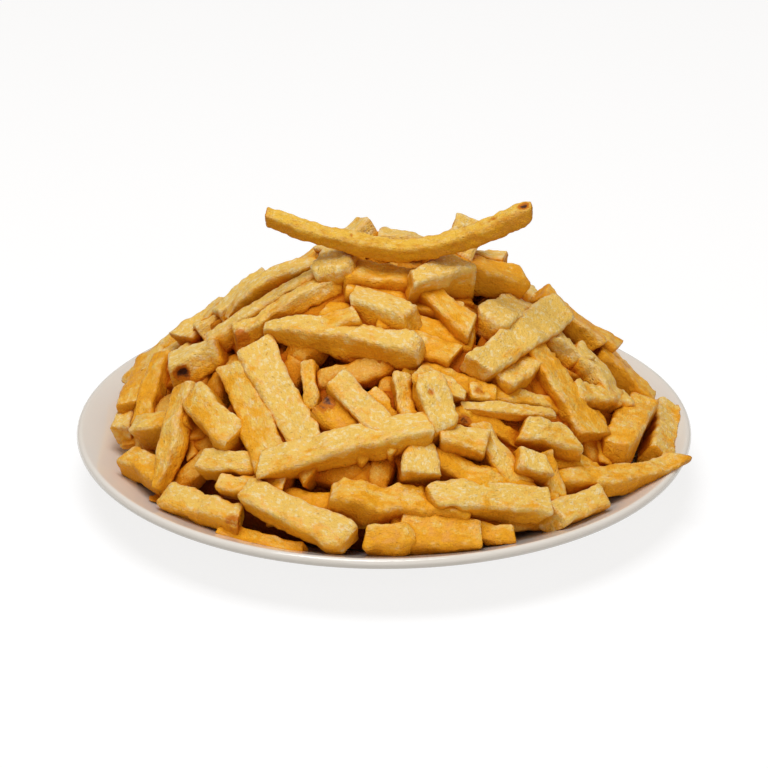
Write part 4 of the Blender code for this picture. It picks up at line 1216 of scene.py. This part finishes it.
@dataclass(frozen=True)
class FarSideFries:
    """Fries over the far side, in rings of turned bars, with a second layer between and under them."""

    kitchen: Kitchen
    rings: tuple[tuple[float, int], ...] = ((20.0, 2), (42.0, 5), (62.0, 7), (80.0, 8), (97.0, 9))
    between: tuple[tuple[float, int], ...] = ((32.0, 4), (53.0, 6), (72.0, 8), (89.0, 10))
    length: tuple[float, float] = (36.0, 60.0)
    thick: tuple[float, float] = (8.5, 11.0)
    reach: float = 106.0
    seed: int = 11
    finish: FriedFinish = field(default_factory=lambda: FriedFinish("fried_potato_far_crust"))
    cutter: FryCutter = field(default_factory=lambda: FryCutter(step=1.25, around=28))

    def ring(self, rng: np.random.Generator, radius: float, count: int, sink: float) -> list[tuple]:
        """Ends, thickness and direction of the fries of one ring.

        Args:
            rng: Source of the turns and lengths.
            radius: Plan radius of the ring.
            count: Fries on it.
            sink: How far below the surface they lie.

        Returns:
            For each fry its two ends, its upward direction and its thickness.
        """
        mound, rows = self.kitchen.mound, []
        for k in range(count):
            turn = math.radians(12.0 + 156.0 * (k + 0.5 + rng.uniform(-0.2, 0.2)) / count)
            centre = np.array((radius * math.cos(turn), radius * math.sin(turn)))
            heading = rng.uniform(0.0, math.pi)
            half = rng.uniform(*self.length) / 2
            step = np.array((math.cos(heading), math.sin(heading))) * half
            ends = []
            for flat in (centre - step, centre + step):
                far = float(np.hypot(*flat))
                flat = flat * min(1.0, self.reach / far)
                ends.append(mound.place(flat[0], flat[1], rng.uniform(-1.0, 2.5) - sink))
            thick = rng.uniform(*self.thick)
            rng.random(16)
            rows.append((ends[0], ends[1], mound.up(*centre), thick))
        return rows

    def build(self) -> bpy.types.Object:
        """Make and dress the far side's fries."""
        rng = np.random.default_rng(self.seed)
        rng.random(sum(8 * (3 if row[9] or row[10] else 2) for row in FRIES))
        rows = [row for radius, count in self.rings for row in self.ring(rng, radius, count, 0.0)]
        rows += [row for radius, count in self.between for row in self.ring(rng, radius, count, 5.0)]
        ends = (End.CUT, End.CUT, End.CUT, End.ROUND, End.POINT, End.WEDGE)
        surfaces = []
        for start, end, up, thick in rows:
            own = np.random.default_rng(int(rng.integers(1 << 30)))
            t = np.linspace(0.0, 1.0, 13)[:, None]
            side = unit(np.cross(end - start, up))
            bow = 4 * t * (1 - t) * (up * own.normal(0.3, 0.7) + side * own.normal(0.0, 0.9))
            flat = np.full(13, thick)
            line = FryLine(start + (end - start) * t + bow, up, (flat + 0.8) * 0.97, flat * 0.97)
            look = Look(start=ends[own.integers(6)], end=ends[own.integers(6)], roll=float(own.uniform(-18, 18)),
                        lumps=float(own.uniform(0.8, 1.4)))
            surfaces.append(self.cutter.cut(line, look, float(own.uniform(0.15, 0.6)), own)
                            .keep_above(self.kitchen.plate.top))
        obj = Surface.join(surfaces).make("far_side_fries")
        self.kitchen.fry(obj, self.finish, 0.08, 330.0, 9.0)
        return settle_piece(obj, "fried_potato", "fries_heap")


@dataclass(frozen=True)
class LooseFries:
    """Loose fries under the outer ones, seen through the gaps, their crust coloured deeper than the outer fries' as
    painted shade.
    """

    kitchen: Kitchen
    depth: float = 8.5
    reach: float = 98.0
    spacing: float = 13.5
    kinds: int = 9
    length: float = 42.0
    seed: int = 5
    # Deeper cream, pale and golden than the outer fries: painted shade for fries lying in the gaps.
    finish: FriedFinish = field(default_factory=lambda: FriedFinish(
        "fried_potato_under", cream=(0.93, 0.60, 0.16), pale=(0.88, 0.45, 0.06), golden=(0.80, 0.29, 0.007)))
    cutter: FryCutter = field(default_factory=lambda: FryCutter(step=2.1, around=18))

    def build(self) -> bpy.types.Object:
        """Make a few kinds of fry and strew them over the mound."""
        rng = np.random.default_rng(self.seed)
        box = bpy.data.collections.new("kinds_of_fry")
        bpy.context.scene.collection.children.link(box)
        ends = (End.CUT, End.ROUND, End.POINT, End.CUT, End.WEDGE)
        for k in range(self.kinds):
            half = self.length / 2 * rng.uniform(0.8, 1.1)
            t = np.linspace(-1.0, 1.0, 9)
            points = np.stack((t * half, (1 - t * t) * rng.normal(0.0, 1.2), (1 - t * t) * rng.normal(0.0, 1.2)), axis=1)
            size = rng.uniform(8.5, 10.5)
            line = FryLine(points, np.array((0.0, 0.0, 1.0)), np.full(9, size + 0.6), np.full(9, size))
            look = Look(start=ends[rng.integers(5)], end=ends[rng.integers(5)])
            kind = self.cutter.cut(line, look, float(rng.uniform(0.3, 0.75)), rng).make(f"kind_of_fry_{k + 1}")
            kind.data.attributes.remove(kind.data.attributes["grain"])
            bpy.context.scene.collection.objects.unlink(kind)
            box.objects.link(kind)
        mound = self.kitchen.mound
        radii = np.linspace(self.reach, 4.0, 16)
        profile = np.array([(radius, mound.height(radius, 0.0) - self.depth) for radius in radii])
        obj = revolved(profile, 64).make("loose_fries")
        shape_with(obj, tumbled_fries_tree(), {
            "Fries": box, "Spacing": self.spacing * MM, "Seed": self.seed, "Shortest": 0.6, "Longest": 1.05,
            "Material": self.finish.material(self.kitchen.colours, self.kitchen.grain)})
        for kind in list(box.objects):
            bpy.data.objects.remove(kind, do_unlink=True)
        bpy.data.collections.remove(box)
        return settle_piece(obj, "fried_potato", "fries_heap")


@dataclass(frozen=True)
class PackedInside:
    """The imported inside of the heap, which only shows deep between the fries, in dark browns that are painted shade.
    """

    kitchen: Kitchen
    depth: float = 19.0
    seed: int = 23
    # Dark red-brown crust colours: painted shade for the deep gaps between the fries.
    finish: FriedFinish = field(default_factory=lambda: FriedFinish(
        "fried_potato_inside", cream=(0.48, 0.12, 0.008), pale=(0.42, 0.085, 0.004), golden=(0.34, 0.055, 0.002), deep=(0.28, 0.035, 0.001)))

    def build(self) -> bpy.types.Object:
        """Make and dress the mound."""
        rng = np.random.default_rng(self.seed)
        mound, plate = self.kitchen.mound, self.kitchen.plate
        radii = np.linspace(86.0, 3.0, 56)
        top = np.array([mound.height(radius, 0.0) for radius in radii]) - self.depth
        top = np.maximum(top, plate.top(radii) + 1.6)
        under = np.linspace(6.0, 85.0, 14)
        profile = np.concatenate((np.stack((under, plate.top(under) + 0.5), axis=1), np.stack((radii, top), axis=1)))
        surface = revolved(profile, 180)
        raised = np.clip((surface.points[:, 2] - plate.top(np.hypot(surface.points[:, 0], surface.points[:, 1])) - 1.0) / 6.0,
                         0.0, 1.0)
        surface.points[:, 2] += raised * (ripple(rng, surface.points, 22.0) * 1.6 + ripple(rng, surface.points, 9.0) * 0.9)
        obj = surface.make("packed_inside")
        self.kitchen.fry(obj, self.finish, 0.5, 150.0, 1.0)
        return settle_piece(obj, "fried_potato", "fries_heap")


@dataclass(frozen=True)
class TopFry:
    """The long bowed fry across the top of the heap."""

    kitchen: Kitchen
    seed: int = 6
    finish: FriedFinish = field(default_factory=lambda: FriedFinish(
        "golden_top_crust", cream=(0.95, 0.68, 0.22), pale=(0.92, 0.55, 0.07), golden=(0.80, 0.36, 0.010), edge=0.6))
    cutter: FryCutter = field(default_factory=lambda: FryCutter(step=0.7, around=44, uneven=0.35, hollow=0.35))

    def line(self) -> FryLine:
        """Centre line through the points of the list, smoothed."""
        rows = np.array(BOW)
        at = np.linspace(0.0, len(rows) - 1, 61)
        smooth = np.stack([np.interp(at, np.arange(len(rows)), rows[:, k]) for k in range(5)], axis=1)
        for _ in range(24):
            smooth[1:-1] = (smooth[:-2] + 2 * smooth[1:-1] + smooth[2:]) / 4
        return FryLine(smooth[:, :3], np.array((0.0, -0.25, 1.0)), smooth[:, 3], smooth[:, 4])

    def build(self) -> bpy.types.Object:
        """Make and dress the fry."""
        look = Look(start=End.CUT, end=End.ROUND, slant_start=(-0.1, 0.45), slant_end=(0.0, 0.1), marks=(
            Mark(0.975, 15.0, 4.5, 4.5, 0.5, 0.9), Mark(0.86, 0.0, 5.0, 4.0, 0.1, 0.3), Mark(0.31, 5.0, 2.0, 2.4, 0.2, 0.4)))
        obj = self.cutter.cut(self.line(), look, 0.5, np.random.default_rng(self.seed)).make("long_top_fry")
        self.kitchen.fry(obj, self.finish, 0.08, 330.0, 2.0)
        return settle_piece(obj, "golden_crust", "top_fry")


@dataclass(frozen=True)
class Studio:
    """Pale floor, soft light from above and the camera."""

    elevation: float = 24.36
    distance: float = 1300.0
    aim_height: float = 39.43
    lens: float = 156.5
    sky: float = 0.38
    floor_glow: float = 0.75

    def build(self) -> None:
        """Set up the floor, the lights, the world and the camera."""
        scene = bpy.context.scene
        scene.view_settings.view_transform = "Standard"
        world = bpy.data.worlds.new("studio_world")
        world.use_nodes = True
        background = world.node_tree.nodes["Background"]
        background.inputs["Color"].default_value = (1.0, 0.93, 0.82, 1.0)
        background.inputs["Strength"].default_value = self.sky
        scene.world = world
        self.floor()
        self.lamp("overhead", (-0.12, -0.18, 1.15), 0.6, 7.6)
        self.lamp("front", (0.24, -1.28, 0.46), 1.1, 3.4)
        turn = math.radians(self.elevation)
        aim = Vector((0.0, 0.0, self.aim_height * MM))
        place = aim + Vector((0.0, -math.cos(turn), math.sin(turn))) * self.distance * MM
        data = bpy.data.cameras.new("camera")
        data.lens, data.sensor_width = self.lens, 36.0
        camera = bpy.data.objects.new("camera", data)
        camera.location = place
        camera.rotation_euler = (aim - place).to_track_quat("-Z", "Y").to_euler()
        scene.collection.objects.link(camera)
        scene.camera = camera

    def floor(self) -> None:
        """The pale floor."""
        surface = Surface(np.array(((-4e3, -4e3, 0), (4e3, -4e3, 0), (4e3, 4e3, 0), (-4e3, 4e3, 0)), float),
                          [np.array(((0, 1, 2, 3),))], {}, np.zeros((4, 3)))
        obj = surface.make("pale_floor")
        obj.location.z = -0.0002
        material = bpy.data.materials.new("pale_floor")
        material.use_nodes = True
        shader = material.node_tree.nodes["Principled BSDF"]
        shader.inputs["Base Color"].default_value = (0.30, 0.30, 0.31, 1.0)
        shader.inputs["Roughness"].default_value = 0.9
        shader.inputs["Specular IOR Level"].default_value = 0.1
        shader.inputs["Emission Color"].default_value = (1.0, 1.0, 1.0, 1.0)
        shader.inputs["Emission Strength"].default_value = self.floor_glow
        obj.data.materials.append(material)
        obj.visible_diffuse = False

    @staticmethod
    def lamp(name: str, place: tuple[float, float, float], size: float, power: float) -> None:
        """One square soft light aimed at the heap.

        Args:
            name: Its name.
            place: Where it stands, in metres.
            size: Side of the square, in metres.
            power: Watts.
        """
        data = bpy.data.lights.new(name, "AREA")
        data.shape, data.size, data.energy = "SQUARE", size, power
        lamp = bpy.data.objects.new(name, data)
        lamp.location = place
        lamp.rotation_euler = (Vector((0.0, 0.0, 0.04)) - Vector(place)).to_track_quat("-Z", "Y").to_euler()
        bpy.context.scene.collection.objects.link(lamp)


def main() -> None:
    """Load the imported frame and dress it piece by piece."""
    logging.basicConfig(level=logging.INFO, format="%(name)s: %(message)s")
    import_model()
    kitchen = Kitchen(HeapSurface(), Plate(), fried_colour_group(), crust_grain_group(), blistered_crust_tree())
    kitchen.plate.build()
    pieces = ShownFries(kitchen).build()
    pieces += [FarSideFries(kitchen).build(), LooseFries(kitchen).build(), PackedInside(kitchen).build(),
               TopFry(kitchen).build()]
    Shelter().measure(pieces)
    Studio().build()


if __name__ == "__main__":
    main()
